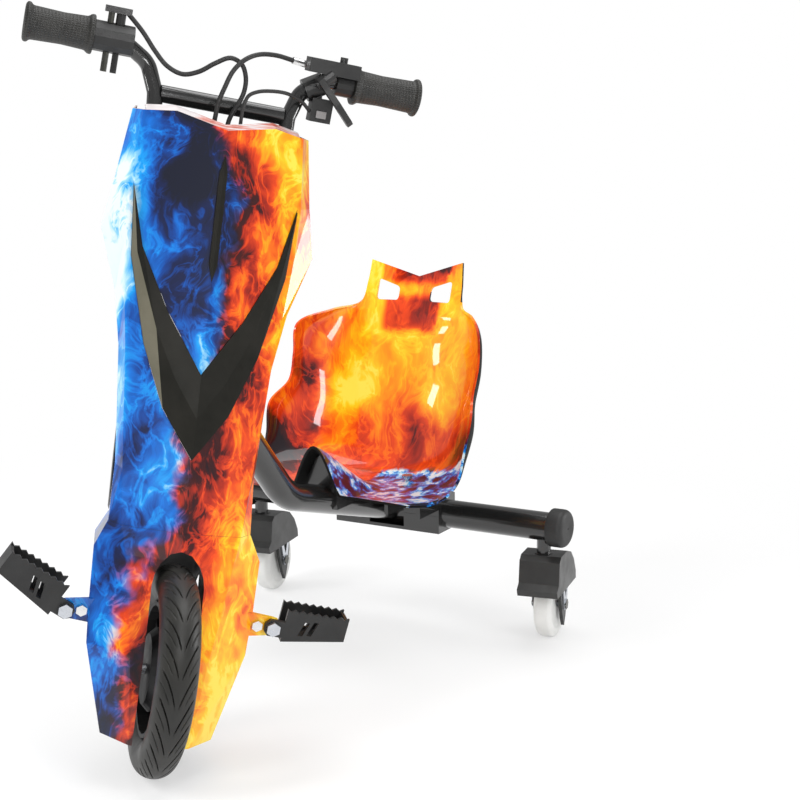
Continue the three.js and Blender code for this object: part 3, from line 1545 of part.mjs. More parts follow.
// Casters: a kingpin under the cross tube, a hood with two legs, and a wheel behind the kingpin
const casterX = rearTrack / 2;
const casterWheelRadius = 50;
const casterWheelHalf = 14;
const stemRadius = 10.5;
const stemFoot = 138;
const pinBoltRadius = 6;
const pinFoot = 101;
const pinHeadRadius = 9;
const pinHeadThick = 4;
const bossRadius = 14;
const bossFoot = pinFoot + pinHeadThick + gap;
const hoodHalf = 30;
const hoodWall = 4;
const hoodForward = 40; // its front, ahead of the kingpin
const hoodRun = 115;
const hoodFoot = 80;
const hoodRise = 57;
const wheelClear = 3;
const casterSwing = 10; // degrees that both casters are turned at rest
const wheelY = crossTubeY + casterTrail;
const hoodShares = [
  [1, 0],
  [0.991, 0.211],
  [0.887, 0.579],
  [0.73, 0.86],
  [0.522, 1],
  [0.209, 1],
  [0.13, 0.877],
  [0.087, 0.316],
  [0, 0.175],
  [0.035, 0],
];
const hoodOutline = hoodShares.map(([run, rise]) => [crossTubeY - hoodForward + run * hoodRun, hoodFoot + rise * hoodRise]);
const hollowOutline = growOutline(hoodOutline, -hoodWall).map(([y, z], i) => {
  const open = i === 0 || i === hoodOutline.length - 1;
  return [y, open ? hoodFoot - overrun : z];
});
const legInner = 17;
const legThick = 5;
const legHalf = 24;
const legFoot = 17;
const legRise = 117;
const legShares = [
  [0, 0],
  [0.33, 0.11],
  [0.83, 0.385],
  [1, 0.795],
  [0.33, 0.93],
  [-0.58, 1],
  [-1, 0.795],
  [-0.83, 0.385],
  [-0.33, 0.11],
];
const legOutline = legShares.map(([half, rise]) => [wheelY + half * legHalf, legFoot + rise * legRise]);
const casterBoltRadius = 4;
const casterBoltHead = 8;
const casterBoltHeadHeight = 4;
const plateThick = 2;
const plateHalf = 15;
const plateFoot = 42;
const plateRise = 38;
const plateShares = [
  [-1, 1],
  [-0.53, 1],
  [0, 0.47],
  [0.53, 1],
  [1, 1],
  [0.33, 0],
  [-0.33, 0],
];
const plateOutline = plateShares.map(([half, rise]) => [wheelY + half * plateHalf, plateFoot + rise * plateRise]);

function casterParts(side, name) {
  const at = (x) => side * (casterX + x);
  const pinAt = (z) => v3(at(0), crossTubeY, z);
  const acrossAxle = (radius, from, to, sides) =>
    rod(radius, v3(at(from), wheelY, casterWheelRadius), v3(at(to), wheelY, casterWheelRadius), sides);
  const across = (outline, from, to) => {
    const made = slab(outline, casterX + from, casterX + to, "yz");
    return side > 0 ? made : mirror(made);
  };
  const stem = cut(rod(stemRadius, pinAt(stemFoot), pinAt(crossTubeZ), 12), crossRoom);
  const pin = join(
    stem,
    rod(pinBoltRadius, pinAt(pinFoot), pinAt(stemFoot + overrun), 12),
    rod(pinHeadRadius, pinAt(pinFoot), pinAt(pinFoot + pinHeadThick), 6),
  );
  add(rear, "kingpin_" + name, pin, steel);

  const hollow = across(hollowOutline, hoodWall - hoodHalf, hoodHalf - hoodWall);
  const boss = rod(bossRadius, pinAt(bossFoot), pinAt(stemFoot - gap), 12);
  const legs = [
    across(legOutline, legInner, legInner + legThick),
    across(legOutline, -legInner - legThick, -legInner),
  ];
  const hoodShell = cut(across(hoodOutline, -hoodHalf, hoodHalf), hollow);
  const pinBore = rod(pinBoltRadius + gap, pinAt(pinFoot - overrun), pinAt(stemFoot + overrun), 12);
  const axleBore = acrossAxle(casterBoltRadius + gap, -hoodHalf, hoodHalf, 12);
  const wheelRoom = acrossAxle(casterWheelRadius + wheelClear, -legInner, legInner, roundSides);
  const swivel = new THREE.Group();
  const turning = new THREE.Group();
  swivel.position.set(at(0), crossTubeY, 0);
  swivel.rotation.z = casterSwing * degree;
  turning.position.copy(swivel.position).negate();
  swivel.add(turning);
  rear.add(swivel);
  const shroud = cut(join(hoodShell, boss), wheelRoom);
  add(turning, "caster_hood_" + name, cut(join(shroud, ...legs), pinBore, axleBore), blackPlastic);

  const headFrom = legInner + legThick + gap;
  const bolt = join(
    acrossAxle(casterBoltRadius, -headFrom - casterBoltHeadHeight, headFrom + casterBoltHeadHeight, 12),
    across(plateOutline, headFrom, headFrom + plateThick),
    across(plateOutline, -headFrom - plateThick, -headFrom),
    acrossAxle(casterBoltHead, headFrom, headFrom + casterBoltHeadHeight, 6),
    acrossAxle(casterBoltHead, -headFrom - casterBoltHeadHeight, -headFrom, 6),
  );
  add(turning, "caster_axle_" + name, bolt, steel);

  const bore = casterBoltRadius + gap;
  const rounding = 5;
  const recess = 2;
  const wheelMade = turned(
    [
      [bore, recess - casterWheelHalf],
      [casterWheelRadius - 3 * rounding, recess - casterWheelHalf],
      [casterWheelRadius - 2 * rounding, -casterWheelHalf],
      [casterWheelRadius - rounding, -casterWheelHalf],
      [casterWheelRadius, rounding - casterWheelHalf],
      [casterWheelRadius, casterWheelHalf - rounding],
      [casterWheelRadius - rounding, casterWheelHalf],
      [casterWheelRadius - 2 * rounding, casterWheelHalf],
      [casterWheelRadius - 3 * rounding, casterWheelHalf - recess],
      [bore, casterWheelHalf - recess],
      [bore, recess - casterWheelHalf],
    ],
    roundSides,
    acrossX,
    v3(at(0), wheelY, casterWheelRadius),
  );
  const roller = new THREE.Group();
  turning.add(roller);
  add(roller, "caster_wheel_" + name, wheelMade, whitePlastic);
}

casterParts(1, "left");
casterParts(-1, "right");
add(rear, "end_cap_left", endCap, rubber);
add(rear, "end_cap_right", mirror(endCap), rubber);

// The whole scooter, standing on its floor with its bounding box centred on the origin
const scooter = new THREE.Group();
scooter.add(steering, rear);
scooter.updateMatrixWorld(true);
const bounds = new THREE.Box3().setFromObject(scooter, true);
const centreOf = bounds.getCenter(v3(0, 0, 0));
scooter.position.set(-centreOf.x, -centreOf.y, -bounds.min.z);

export default scooter;
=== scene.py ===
"""Looks of the three-wheeled drift scooter: camera, materials, detailed pieces, floor and lamps."""
import math

import bmesh
import bpy
from mathutils import Matrix, Quaternion, Vector


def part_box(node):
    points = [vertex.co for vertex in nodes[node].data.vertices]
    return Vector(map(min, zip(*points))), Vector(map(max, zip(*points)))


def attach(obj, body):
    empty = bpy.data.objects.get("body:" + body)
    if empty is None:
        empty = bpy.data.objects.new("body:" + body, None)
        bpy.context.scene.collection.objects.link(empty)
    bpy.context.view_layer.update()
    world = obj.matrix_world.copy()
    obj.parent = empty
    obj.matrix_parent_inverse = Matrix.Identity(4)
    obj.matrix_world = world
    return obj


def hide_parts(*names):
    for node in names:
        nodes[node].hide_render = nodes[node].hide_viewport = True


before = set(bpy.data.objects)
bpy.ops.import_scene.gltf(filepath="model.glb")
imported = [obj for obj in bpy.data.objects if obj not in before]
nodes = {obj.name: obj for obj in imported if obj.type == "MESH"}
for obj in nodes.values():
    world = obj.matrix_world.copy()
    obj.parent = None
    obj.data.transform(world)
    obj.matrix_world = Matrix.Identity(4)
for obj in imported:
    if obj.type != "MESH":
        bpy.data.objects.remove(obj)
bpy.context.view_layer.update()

# The CAD's own frame in millimetres: its origin is under the front axle, steered straight ahead
MM = 0.001
CROSS_TUBE_Y = 628
CROSS_TUBE_Z = 177
AXLE_HEIGHT = 127
STEER_ANGLE = math.radians(46.5)
RAKE = math.radians(15.6)
TRAIL = 49.7
GRIP_Y = 296
GRIP_Z = 833
low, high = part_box("rear_cross_tube")
ORIGIN = Vector(((low.x + high.x) / 2, (low.y + high.y) / 2 - CROSS_TUBE_Y * MM, 0))
PIVOT = Vector((0, TRAIL, AXLE_HEIGHT)) * MM
STEER_TURN = Quaternion(Vector((0, math.sin(RAKE), math.cos(RAKE))), STEER_ANGLE)


def settle_height():
    """How far the steered front end was lifted so that its tyre meets the floor."""
    axle_low, axle_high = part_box("front_axle")
    plain = PIVOT + STEER_TURN @ (Vector((0, 0, AXLE_HEIGHT * MM)) - PIVOT)
    return (axle_low.z + axle_high.z) / 2 - plain.z


SETTLE = settle_height()
REAR = Matrix.Translation(ORIGIN)
FRONT = (
    Matrix.Translation(ORIGIN + PIVOT + Vector((0, 0, SETTLE)))
    @ STEER_TURN.to_matrix().to_4x4()
    @ Matrix.Translation(-PIVOT)
)


# Camera
def make_camera():
    """The view of the photo, from a least-squares fit to its outlines."""
    distance, aside, height = 1.7771, 0.3238, 0.4464
    azimuth, elevation, roll = math.radians(30), math.radians(10.8), math.radians(-0.8)
    focal_pixels, image_width, sensor_width = 1541.3, 800, 36
    right = Vector((math.cos(azimuth), math.sin(azimuth), 0))
    back = Vector((
        math.sin(azimuth) * math.cos(elevation),
        -math.cos(azimuth) * math.cos(elevation),
        math.sin(elevation),
    ))
    target = Vector((ORIGIN.x, ORIGIN.y, height)) + right * aside
    up = right.cross(-back)
    x_axis = right * math.cos(roll) + up * math.sin(roll)
    y_axis = -right * math.sin(roll) + up * math.cos(roll)
    data = bpy.data.cameras.new("camera")
    data.sensor_width = sensor_width
    data.lens = focal_pixels / image_width * sensor_width
    data.clip_end = 100
    camera = bpy.data.objects.new("camera", data)
    bpy.context.scene.collection.objects.link(camera)
    place = Matrix((x_axis, y_axis, back)).transposed().to_4x4()
    place.translation = target + back * distance
    camera.matrix_world = place
    bpy.context.scene.camera = camera


make_camera()


# Node materials
def grey(level):
    return (level, level, level)


class Nodes:
    """A node tree, with short calls that return output sockets."""

    def __init__(self, tree):
        self.tree = tree
        tree.nodes.clear()

    def node(self, kind, **settings):
        made = self.tree.nodes.new(kind)
        for key, value in settings.items():
            setattr(made, key, value)
        return made

    def link(self, source, target):
        self.tree.links.new(source, target)

    def put(self, value, socket):
        if isinstance(value, bpy.types.NodeSocket):
            self.link(value, socket)
        elif isinstance(value, tuple) and len(value) == 3 and len(socket.default_value) == 4:
            socket.default_value = (*value, 1)
        else:
            socket.default_value = value

    def math(self, operation, a, b=0.0, clamp=False):
        made = self.node("ShaderNodeMath", operation=operation, use_clamp=clamp)
        self.put(a, made.inputs[0])
        self.put(b, made.inputs[1])
        return made.outputs[0]

    def sum(self, *values):
        total = values[0]
        for value in values[1:]:
            total = self.math("ADD", total, value)
        return total

    def times(self, a, b):
        return self.math("MULTIPLY", a, b)

    def coordinates(self):
        return self.node("ShaderNodeTexCoord").outputs["Object"]

    def mapped(self, source, scale=(1, 1, 1), location=(0, 0, 0), rotation=(0, 0, 0)):
        made = self.node("ShaderNodeMapping")
        self.put(source, made.inputs["Vector"])
        made.inputs["Location"].default_value = location
        made.inputs["Rotation"].default_value = rotation
        made.inputs["Scale"].default_value = scale
        return made.outputs[0]

    def local(self, matrix):
        """Coordinates in the CAD's own frame of the front or rear, in metres."""
        back = matrix.inverted()
        return self.mapped(self.coordinates(), location=back.translation, rotation=back.to_euler())

    def split(self, vector):
        made = self.node("ShaderNodeSeparateXYZ")
        self.link(vector, made.inputs[0])
        return made.outputs

    def noise(self, vector, scale, detail=4.0, roughness=0.5, distortion=0.0, output="Fac"):
        made = self.node("ShaderNodeTexNoise")
        self.put(vector, made.inputs["Vector"])
        made.inputs["Scale"].default_value = scale
        made.inputs["Detail"].default_value = detail
        made.inputs["Roughness"].default_value = roughness
        made.inputs["Distortion"].default_value = distortion
        return made.outputs[output]

    def ramp(self, value, stops):
        made = self.node("ShaderNodeValToRGB")
        elements = made.color_ramp.elements
        while len(elements) < len(stops):
            elements.new(0.5)
        for element, (place, color) in zip(elements, stops):
            element.position = place
            element.color = (*color, 1)
        self.link(value, made.inputs[0])
        return made.outputs[0]

    def curve(self, value, stops):
        """A plain number that changes with the input, from (place, number) stops."""
        return self.ramp(value, [(place, grey(number)) for place, number in stops])

    def step(self, value, start, end, from_value=0.0, to_value=1.0):
        """A smooth change between two values as the input runs from start to end."""
        made = self.node("ShaderNodeMapRange", interpolation_type="SMOOTHSTEP")
        for socket, item in zip(made.inputs, (value, start, end, from_value, to_value)):
            self.put(item, socket)
        return made.outputs[0]

    def mix(self, share, a, b):
        """Two colours mixed by a share of the second."""
        made = self.node("ShaderNodeMix", data_type="RGBA")
        self.put(share, made.inputs["Factor"])
        self.put(a, made.inputs[6])
        self.put(b, made.inputs[7])
        return made.outputs[2]

    def vectors(self, operation, a, b):
        made = self.node("ShaderNodeVectorMath", operation=operation)
        self.put(a, made.inputs[0])
        self.put(b, made.inputs[1])
        return made.outputs[0]

    def pushed(self, place, scale, amount):
        """Coordinates moved about by a soft noise."""
        wave = self.noise(place, scale, 3, 0.55, output="Color")
        centred = self.vectors("SUBTRACT", wave, (0.5, 0.5, 0.5))
        moved = self.vectors("MULTIPLY", centred, (amount, amount, amount))
        return self.vectors("ADD", place, moved)

    def rays(self, *kinds):
        """1 for a ray of any of these kinds, else 0."""
        path = self.node("ShaderNodeLightPath")
        seen = path.outputs[kinds[0]]
        for kind in kinds[1:]:
            seen = self.math("MAXIMUM", seen, path.outputs[kind])
        return seen

    def blend(self, share, a, b):
        """Two shaders mixed by a share of the second."""
        made = self.node("ShaderNodeMixShader")
        for source, socket in zip((share, a, b), made.inputs):
            self.link(source, socket)
        return made.outputs[0]


class Material(Nodes):
    """A material with one principled shader."""

    def __init__(self, name):
        self.material = bpy.data.materials.new(name)
        self.material.use_nodes = True
        super().__init__(self.material.node_tree)
        self.shader = self.node("ShaderNodeBsdfPrincipled")
        self.output = self.node("ShaderNodeOutputMaterial")
        self.link(self.shader.outputs[0], self.output.inputs["Surface"])

    def bump(self, height, distance, strength=1.0):
        made = self.node("ShaderNodeBump")
        made.inputs["Distance"].default_value = distance
        made.inputs["Strength"].default_value = strength
        self.link(height, made.inputs["Height"])
        self.link(made.outputs[0], self.shader.inputs["Normal"])

    def set(self, **values):
        for key, value in values.items():
            self.put(value, self.shader.inputs[key.replace("_", " ")])


# Prints: generic flames, from dark gaps to bright cores
FIRE = [
    (0.0, (0.010, 0.004, 0.008)),
    (0.24, (0.050, 0.004, 0.004)),
    (0.36, (0.40, 0.018, 0.003)),
    (0.50, (0.74, 0.055, 0.004)),
    (0.64, (0.92, 0.18, 0.003)),
    (0.80, (0.96, 0.38, 0.004)),
    (0.93, (0.97, 0.58, 0.012)),
    (1.0, (0.98, 0.70, 0.07)),
]
ICE = [
    (0.0, (0.003, 0.005, 0.018)),
    (0.22, (0.003, 0.010, 0.060)),
    (0.38, (0.001, 0.048, 0.27)),
    (0.54, (0.001, 0.135, 0.56)),
    (0.72, (0.004, 0.30, 0.74)),
    (0.86, (0.26, 0.57, 0.82)),
    (1.0, (0.68, 0.77, 0.80)),
]
PRINT_GLOSS = {"Roughness": 0.30, "Specular_IOR_Level": 0.15, "Coat_Weight": 0.9, "Coat_Roughness": 0.025}


def flames(mat, place, size):
    """Rising tongues with fine strands, about zero on average."""
    tongues = mat.mapped(mat.pushed(place, 6.5, 0.10), scale=(1, 1, 0.46))
    broad = mat.noise(tongues, size, 3, 0.5)
    drawn_out = mat.mapped(mat.pushed(tongues, 20, 0.03), scale=(1, 1, 0.7))
    strands = mat.noise(drawn_out, size * 3.0, 5, 0.62, 0.7)
    filaments = mat.noise(tongues, size * 1.7, 4, 0.55, 1.6)
    ridge = mat.math("ABSOLUTE", mat.math("SUBTRACT", filaments, 0.5))
    bright = mat.step(ridge, 0.075, 0.0, 0.0, 0.20)
    return mat.sum(
        mat.times(mat.math("SUBTRACT", broad, 0.5), 2.5),
        mat.times(mat.math("SUBTRACT", strands, 0.5), 0.85),
        bright,
        -0.03,
    )


def fairing_print():
    """Ice to the rider's right, fire to the left, with a dark ground between, and a painted highlight along
    the ice side's outer edge.
    """
    mat = Material("printed fairing")
    place = mat.local(FRONT)
    x, y, z = mat.split(place)
    border = mat.curve(mat.times(z, 1.25), [
        (0.10, 0.18), (0.28, 0.22), (0.42, 0.42), (0.60, 0.60), (0.78, 0.64), (0.94, 0.36),
    ])
    wander = mat.noise(place, 8.5, 4, 0.6)
    lean = mat.sum(
        x,
        mat.times(mat.math("SUBTRACT", wander, 0.5), 0.16),
        mat.times(mat.math("SUBTRACT", 0.5, border), 0.2),
    )
    field = flames(mat, place, 15)
    fire_level = mat.sum(mat.times(field, 0.75), mat.times(lean, 5.2), 0.20)
    # Painted highlight: the blue grows paler towards the outer edge on the ice side, weaker low on the wheel
    # cover.
    painted_edge_highlight = mat.step(mat.math("ADD", x, mat.times(field, 0.02)), -0.070, -0.112, 0.0, 0.50)
    painted_edge_highlight = mat.times(painted_edge_highlight, mat.step(z, 0.24, 0.38, 0.28, 1.0))
    crown_dark = mat.step(mat.sum(z, mat.times(wander, 0.1)), 0.69, 0.78, 0.0, 0.50)
    blue_level = mat.sum(mat.times(field, 0.85), 0.53, mat.times(crown_dark, -1.0), painted_edge_highlight)
    cover_dark = mat.step(z, 0.40, 0.30, 0.0, 0.14)
    blue_level = mat.math("SUBTRACT", blue_level, cover_dark, clamp=True)
    fire = mat.ramp(mat.math("ADD", fire_level, 0.0, clamp=True), FIRE)
    ice = mat.ramp(blue_level, ICE)
    mat.set(Base_Color=mat.mix(mat.step(lean, -0.010, 0.012), ice, fire), **PRINT_GLOSS)
    mat.bump(mat.noise(place, 55, 2, 0.5), 0.0004, 0.2)
    return mat.material


def seat_print():
    """Fire on the bucket and headrest, with a frosted patch on the front lip."""
    mat = Material("printed seat")
    place = mat.local(REAR)
    x, y, z = mat.split(place)
    field = flames(mat, place, 13)
    aside = mat.math("ABSOLUTE", mat.math("ADD", x, mat.times(field, 0.012)))
    out_dark = mat.step(aside, 0.085, 0.165, 0.0, 0.40)
    low_dark = mat.step(z, 0.345, 0.292, 0.0, 0.34)
    bib_wide = mat.step(aside, 0.052, 0.038)
    bib_tall = mat.times(mat.step(z, 0.432, 0.450), mat.step(z, 0.502, 0.484))
    bar = mat.times(mat.step(aside, 0.058, 0.050), mat.step(z, 0.505, 0.520, 0.0, 0.36))
    bib = mat.times(mat.times(bib_wide, bib_tall), 0.42)
    darker = mat.sum(out_dark, low_dark, bib, bar)
    level = mat.sum(mat.times(field, 0.46), 0.815, mat.times(darker, -1.0))
    fire = mat.ramp(mat.math("ADD", level, 0.0, clamp=True), FIRE)
    frost_field = mat.noise(mat.pushed(place, 24, 0.03), 42, 4, 0.6)
    frost = mat.ramp(mat.step(frost_field, 0.36, 0.62), ICE)
    front = mat.step(mat.sum(y, mat.times(z, 0.7), mat.times(field, 0.03)), 0.766, 0.752)
    front = mat.times(front, mat.step(x, -0.004, 0.004))
    mat.set(Base_Color=mat.mix(front, fire, frost), **PRINT_GLOSS)
    mat.bump(mat.noise(place, 40, 2, 0.5), 0.0004, 0.2)
    return mat.material


def top_edge_painted_reflection():
    """Red to pale streaks on the fairing's turned-back edge: a painted reflection with a painted highlight,
    paler towards the -x end.
    """
    mat = Material("top edge painted reflection")
    place = mat.local(FRONT)
    x, y, z = mat.split(place)
    streaks = mat.noise(mat.mapped(place, scale=(14, 120, 120)), 1, 4, 0.6)
    # Painted highlight: the streaks grow paler towards the -x end.
    painted_highlight_end = mat.step(x, -0.06, -0.02, 0.30, 0.0)
    shade = mat.ramp(mat.math("ADD", streaks, painted_highlight_end), [
        (0.36, (0.55, 0.05, 0.02)),
        (0.50, (0.80, 0.30, 0.24)),
        (0.62, (0.86, 0.80, 0.80)),
    ])
    mat.set(Base_Color=shade, **PRINT_GLOSS)
    return mat.material


def black_paint():
    """Gloss powder coat with a slight orange peel."""
    mat = Material("black paint")
    place = mat.coordinates()
    shade = mat.curve(mat.noise(place, 14, 3), [(0.3, 0.008), (0.7, 0.015)])
    mat.set(Base_Color=shade, Roughness=0.24, Coat_Weight=0.8, Coat_Roughness=0.05)
    mat.bump(mat.noise(place, 900, 2, 0.5), 0.00006, 0.5)
    return mat.material


def moulded(name, dark, light, roughness, grain=700, depth=0.0001, specular=0.5):
    """Plastic or rubber with a cloudy shade and a fine grain."""
    mat = Material(name)
    place = mat.coordinates()
    shade = mat.ramp(mat.noise(place, 22, 5, 0.6), [(0.3, dark), (0.7, light)])
    rough = mat.step(mat.noise(place, 40, 4), 0.3, 0.7, roughness - 0.06, roughness + 0.06)
    mat.set(Base_Color=shade, Roughness=rough, Specular_IOR_Level=specular)
    mat.bump(mat.noise(place, grain, 3, 0.6), depth, 0.6)
    return mat.material


def metal(name, color, roughness, grain=260):
    """Bare or plated metal with a cloudy sheen."""
    mat = Material(name)
    place = mat.coordinates()
    tint = tuple(min(1.0, level * 1.12) for level in color)
    shade = mat.ramp(mat.noise(place, 60, 4), [(0.3, color), (0.7, tint)])
    rough = mat.step(mat.noise(place, grain, 5, 0.7), 0.3, 0.7, roughness - 0.07, roughness + 0.09)
    mat.set(Base_Color=shade, Roughness=rough, Metallic=1.0)
    mat.bump(mat.noise(place, grain, 3, 0.6), 0.00005, 0.4)
    return mat.material


def ribbed_rubber(name, centre_y, centre_z, ribs, ring_pitch):
    """Grip rubber with ribs along the bar, broken by fine rings, with painted shade in the grooves."""
    mat = Material(name)
    x, y, z = mat.split(mat.local(FRONT))
    turn = mat.math("ARCTAN2", mat.math("SUBTRACT", z, centre_z), mat.math("SUBTRACT", y, centre_y))
    rib = mat.math("SINE", mat.times(turn, ribs))
    ring = mat.math("SINE", mat.times(x, 2 * math.pi / ring_pitch))
    worn = mat.noise(mat.coordinates(), 50, 4, 0.6)
    height = mat.math("MAXIMUM", mat.times(rib, 0.7), mat.times(ring, 0.55))
    # The colour follows the relief: painted shade in the grooves and a painted highlight on the crests, over
    # a random tone.
    shade = mat.ramp(mat.math("ADD", mat.times(height, 0.22), worn), [
        (0.3, (0.010, 0.010, 0.009)),
        (0.8, (0.030, 0.029, 0.026)),
    ])
    mat.set(Base_Color=shade, Roughness=0.50)
    mat.bump(height, 0.0006, 0.8)
    return mat.material


# Finishes
PAINT = black_paint()
PLASTIC = moulded("black plastic", grey(0.010), grey(0.020), 0.40)
DARK = moulded("unlit plastic", grey(0.006), grey(0.012), 0.60, specular=0.15)
HOOD = moulded("hood plastic", grey(0.018), (0.032, 0.032, 0.031), 0.38)
TRIM = moulded("trim plastic", (0.014, 0.014, 0.012), (0.022, 0.021, 0.018), 0.36,
               depth=0.00005, specular=0.05)
# A pale khaki for one facet of the chevron trim: a painted reflection.
TRIM_PAINTED_REFLECTION = moulded("trim painted reflection", (0.115, 0.108, 0.078), (0.150, 0.140, 0.104), 0.36,
                depth=0.00005, specular=0.2)
RUBBER = moulded("black rubber", grey(0.012), grey(0.024), 0.60, grain=420, depth=0.0002)
GRIP = ribbed_rubber("grip rubber", GRIP_Y * MM, GRIP_Z * MM, 44, 0.0042)
TYRE = moulded("tyre rubber", (0.010, 0.010, 0.009), (0.022, 0.021, 0.018), 0.46, grain=340, depth=0.00012)
PRINT = fairing_print()
SEAT = seat_print()
ZINC = metal("zinc", (0.56, 0.58, 0.62), 0.30)
STEEL = metal("bright steel", grey(0.70), 0.22)
GUNMETAL = metal("dark screw", (0.09, 0.09, 0.08), 0.30)
CASTING = moulded("dark casting", grey(0.005), (0.010, 0.010, 0.011), 0.58, grain=200, depth=0.0002)
# Pink to white for the fairing's top faces: a painted highlight.
TOP_FACE_PAINTED_HIGHLIGHT = moulded("top face painted highlight", (0.66, 0.40, 0.36), (0.84, 0.78, 0.76), 0.26, grain=200)
TOP_EDGE_REFLECTION = top_edge_painted_reflection()
WHITE = moulded("white plastic", (0.74, 0.74, 0.72), (0.84, 0.84, 0.82), 0.34, grain=300)
BUTTON = moulded("grey button", (0.26, 0.25, 0.25), (0.42, 0.40, 0.40), 0.30, grain=300)
SLEEVE = moulded("battery sleeve", (0.02, 0.07, 0.22), (0.03, 0.10, 0.30), 0.4)

LOOKS = {
    PAINT: ["upright_left", "upright_right", "handlebar_crossbar", "lower_yoke", "upper_yoke", "main_frame",
            "rear_cross_tube", "seat_bracket_front", "seat_bracket_rear", "seat_clamp_plate"],
    PLASTIC: ["side_panel_left", "side_panel_right", "rear_cover", "top_cover", "throttle_housing",
              "brake_perch", "switch_box", "brake_lever", "foot_peg_left", "foot_peg_right"],
    TRIM: ["chevron_trim", "slot_trim"],
    HOOD: ["caster_hood_left", "caster_hood_right"],
    RUBBER: ["end_cap_left", "end_cap_right", "throttle_cable", "brake_cable", "switch_wire"],
    GRIP: ["grip_left", "throttle_grip"],
    TYRE: ["front_tyre"],
    PRINT: ["front_shell", "wheel_cover", "peg_bracket_left", "peg_bracket_right"],
    SEAT: ["seat_shell"],
    ZINC: ["front_axle", "axle_nut_left", "axle_nut_right", "steering_bolt", "steering_nut_upper",
           "steering_nut_lower", "peg_bolt_left", "peg_bolt_right", "seat_bolt_left", "seat_bolt_right",
           "kingpin_left", "kingpin_right", "caster_axle_left", "caster_axle_right"],
    CASTING: ["hub_motor", "motor_controller", "bearing_cup_upper", "bearing_cup_lower"],
    WHITE: ["caster_wheel_left", "caster_wheel_right"],
    BUTTON: ["horn_button"],
    SLEEVE: ["battery_pack"],
}
for material, names in LOOKS.items():
    for name in names:
        nodes[name].data.materials.clear()
        nodes[name].data.materials.append(material)


# Second finishes on parts of a piece
def paint_where(obj, material, matrix, chosen):
    """Gives a material to the faces whose centre and normal, in the CAD's own millimetres, are chosen."""
    obj.data.materials.append(material)
    index = len(obj.data.materials) - 1
    back = matrix.inverted()
    turn = back.to_3x3()
    for face in obj.data.polygons:
        centre = back @ face.center / MM
        if chosen(centre, turn @ face.normal):
            face.material_index = index


FACE_SLOPE = math.tan(math.radians(20.7))
FACE_FOOT_Y = 57.5
FACE_FOOT_Z = 375
FACE_TOP_Z = 745
SHELL_DEPTH = 112
ARCH_HALF = 31
ARCH_TOP = 272
SHELLS = ("front_shell", "wheel_cover")


def face_y(z):
    """How far back the middle of the fairing's face stands at a height."""
    return FACE_FOOT_Y + (z - FACE_FOOT_Z) * FACE_SLOPE


def is_inner(centre, normal):
    """Whether a face of the fairing or cover looks inwards, or into the arch over the tyre."""
    in_arch = abs(centre.x) < ARCH_HALF + 1 and centre.z < ARCH_TOP + 2
    if in_arch and (normal.x * centre.x < -1 or normal.z < -0.3):
        return True
    middle = Vector((0, face_y(centre.z) + SHELL_DEPTH * 0.8, centre.z))
    return (centre - middle).dot(normal) < 2


for name in SHELLS:
    paint_where(nodes[name], DARK, FRONT, is_inner)
# Painted reflection: the outer facet of the chevron arm on the -x side gets a pale khaki colour.
paint_where(nodes["chevron_trim"], TRIM_PAINTED_REFLECTION, FRONT, lambda c, n: c.x < 0 and n.x < -0.4 and n.y < -0.3)
# Painted highlight: the fairing's upward faces along its top get a pale pink to white colour.
paint_where(nodes["front_shell"], TOP_FACE_PAINTED_HIGHLIGHT, FRONT, lambda c, n: c.z > FACE_TOP_Z and n.z > 0.7)
SIDES = ((1, "left"), (-1, "right"))
BRACKET_BOLT_X = 105
BRACKET_BOLT_RADIUS = 7.2
BRACKET_FRONT_Y = 9.9
PEG_PIVOT_Z = 190
STEM_FOOT = 138
CASTER_X = 250
CASTER_SWING = math.radians(10)
CASTER_TRAIL = 36
CASTER_RADIUS = 50
CASTER_BOLT_RADIUS = 7
CASTER_PLATE_X = 18


def on_bracket_bolt(centre, normal):
    away = math.hypot(abs(centre.x) - BRACKET_BOLT_X, centre.z - PEG_PIVOT_Z)
    return away < BRACKET_BOLT_RADIUS and centre.y < BRACKET_FRONT_Y


def on_caster_bolt(centre, normal):
    away = math.hypot(centre.y - CASTER_TRAIL, centre.z - CASTER_RADIUS)
    return away < CASTER_BOLT_RADIUS and abs(centre.x) > CASTER_PLATE_X


def caster_place(side):
    """The frame of a caster, which stands swung about its kingpin."""
    kingpin = Vector((side * CASTER_X, CROSS_TUBE_Y, 0)) * MM
    return REAR @ Matrix.Translation(kingpin) @ Matrix.Rotation(CASTER_SWING, 4, "Z")


for side, name in SIDES:
    paint_where(nodes["peg_bracket_" + name], STEEL, FRONT, on_bracket_bolt)
    paint_where(nodes["kingpin_" + name], PAINT, REAR, lambda c, n: c.z > STEM_FOOT - 1)
    paint_where(nodes["caster_axle_" + name], GUNMETAL, caster_place(side), on_caster_bolt)
ADJUSTER_START = Vector((79, 282, 850))
ADJUSTER_RUN = Vector((-23, -5, 2)).normalized()
ADJUSTER_LONG = 26
ADJUSTER_RADIUS = 7
ADJUSTER_SHOULDER_X = 97.5
KNOB_X = 152
KNOB_RADIUS = 4.5


def on_adjuster(centre, normal):
    from_start = centre - ADJUSTER_START
    along = -from_start.dot(ADJUSTER_RUN)
    aside = (from_start + ADJUSTER_RUN * along).length
    return -2 < along < ADJUSTER_LONG and aside < ADJUSTER_RADIUS and centre.x < ADJUSTER_SHOULDER_X


def on_knob_rod(centre, normal):
    return math.hypot(centre.x + KNOB_X, centre.y - GRIP_Y) < KNOB_RADIUS and abs(normal.z) < 0.5


paint_where(nodes["brake_perch"], STEEL, FRONT, on_adjuster)
paint_where(nodes["throttle_housing"], GUNMETAL, FRONT, on_knob_rod)


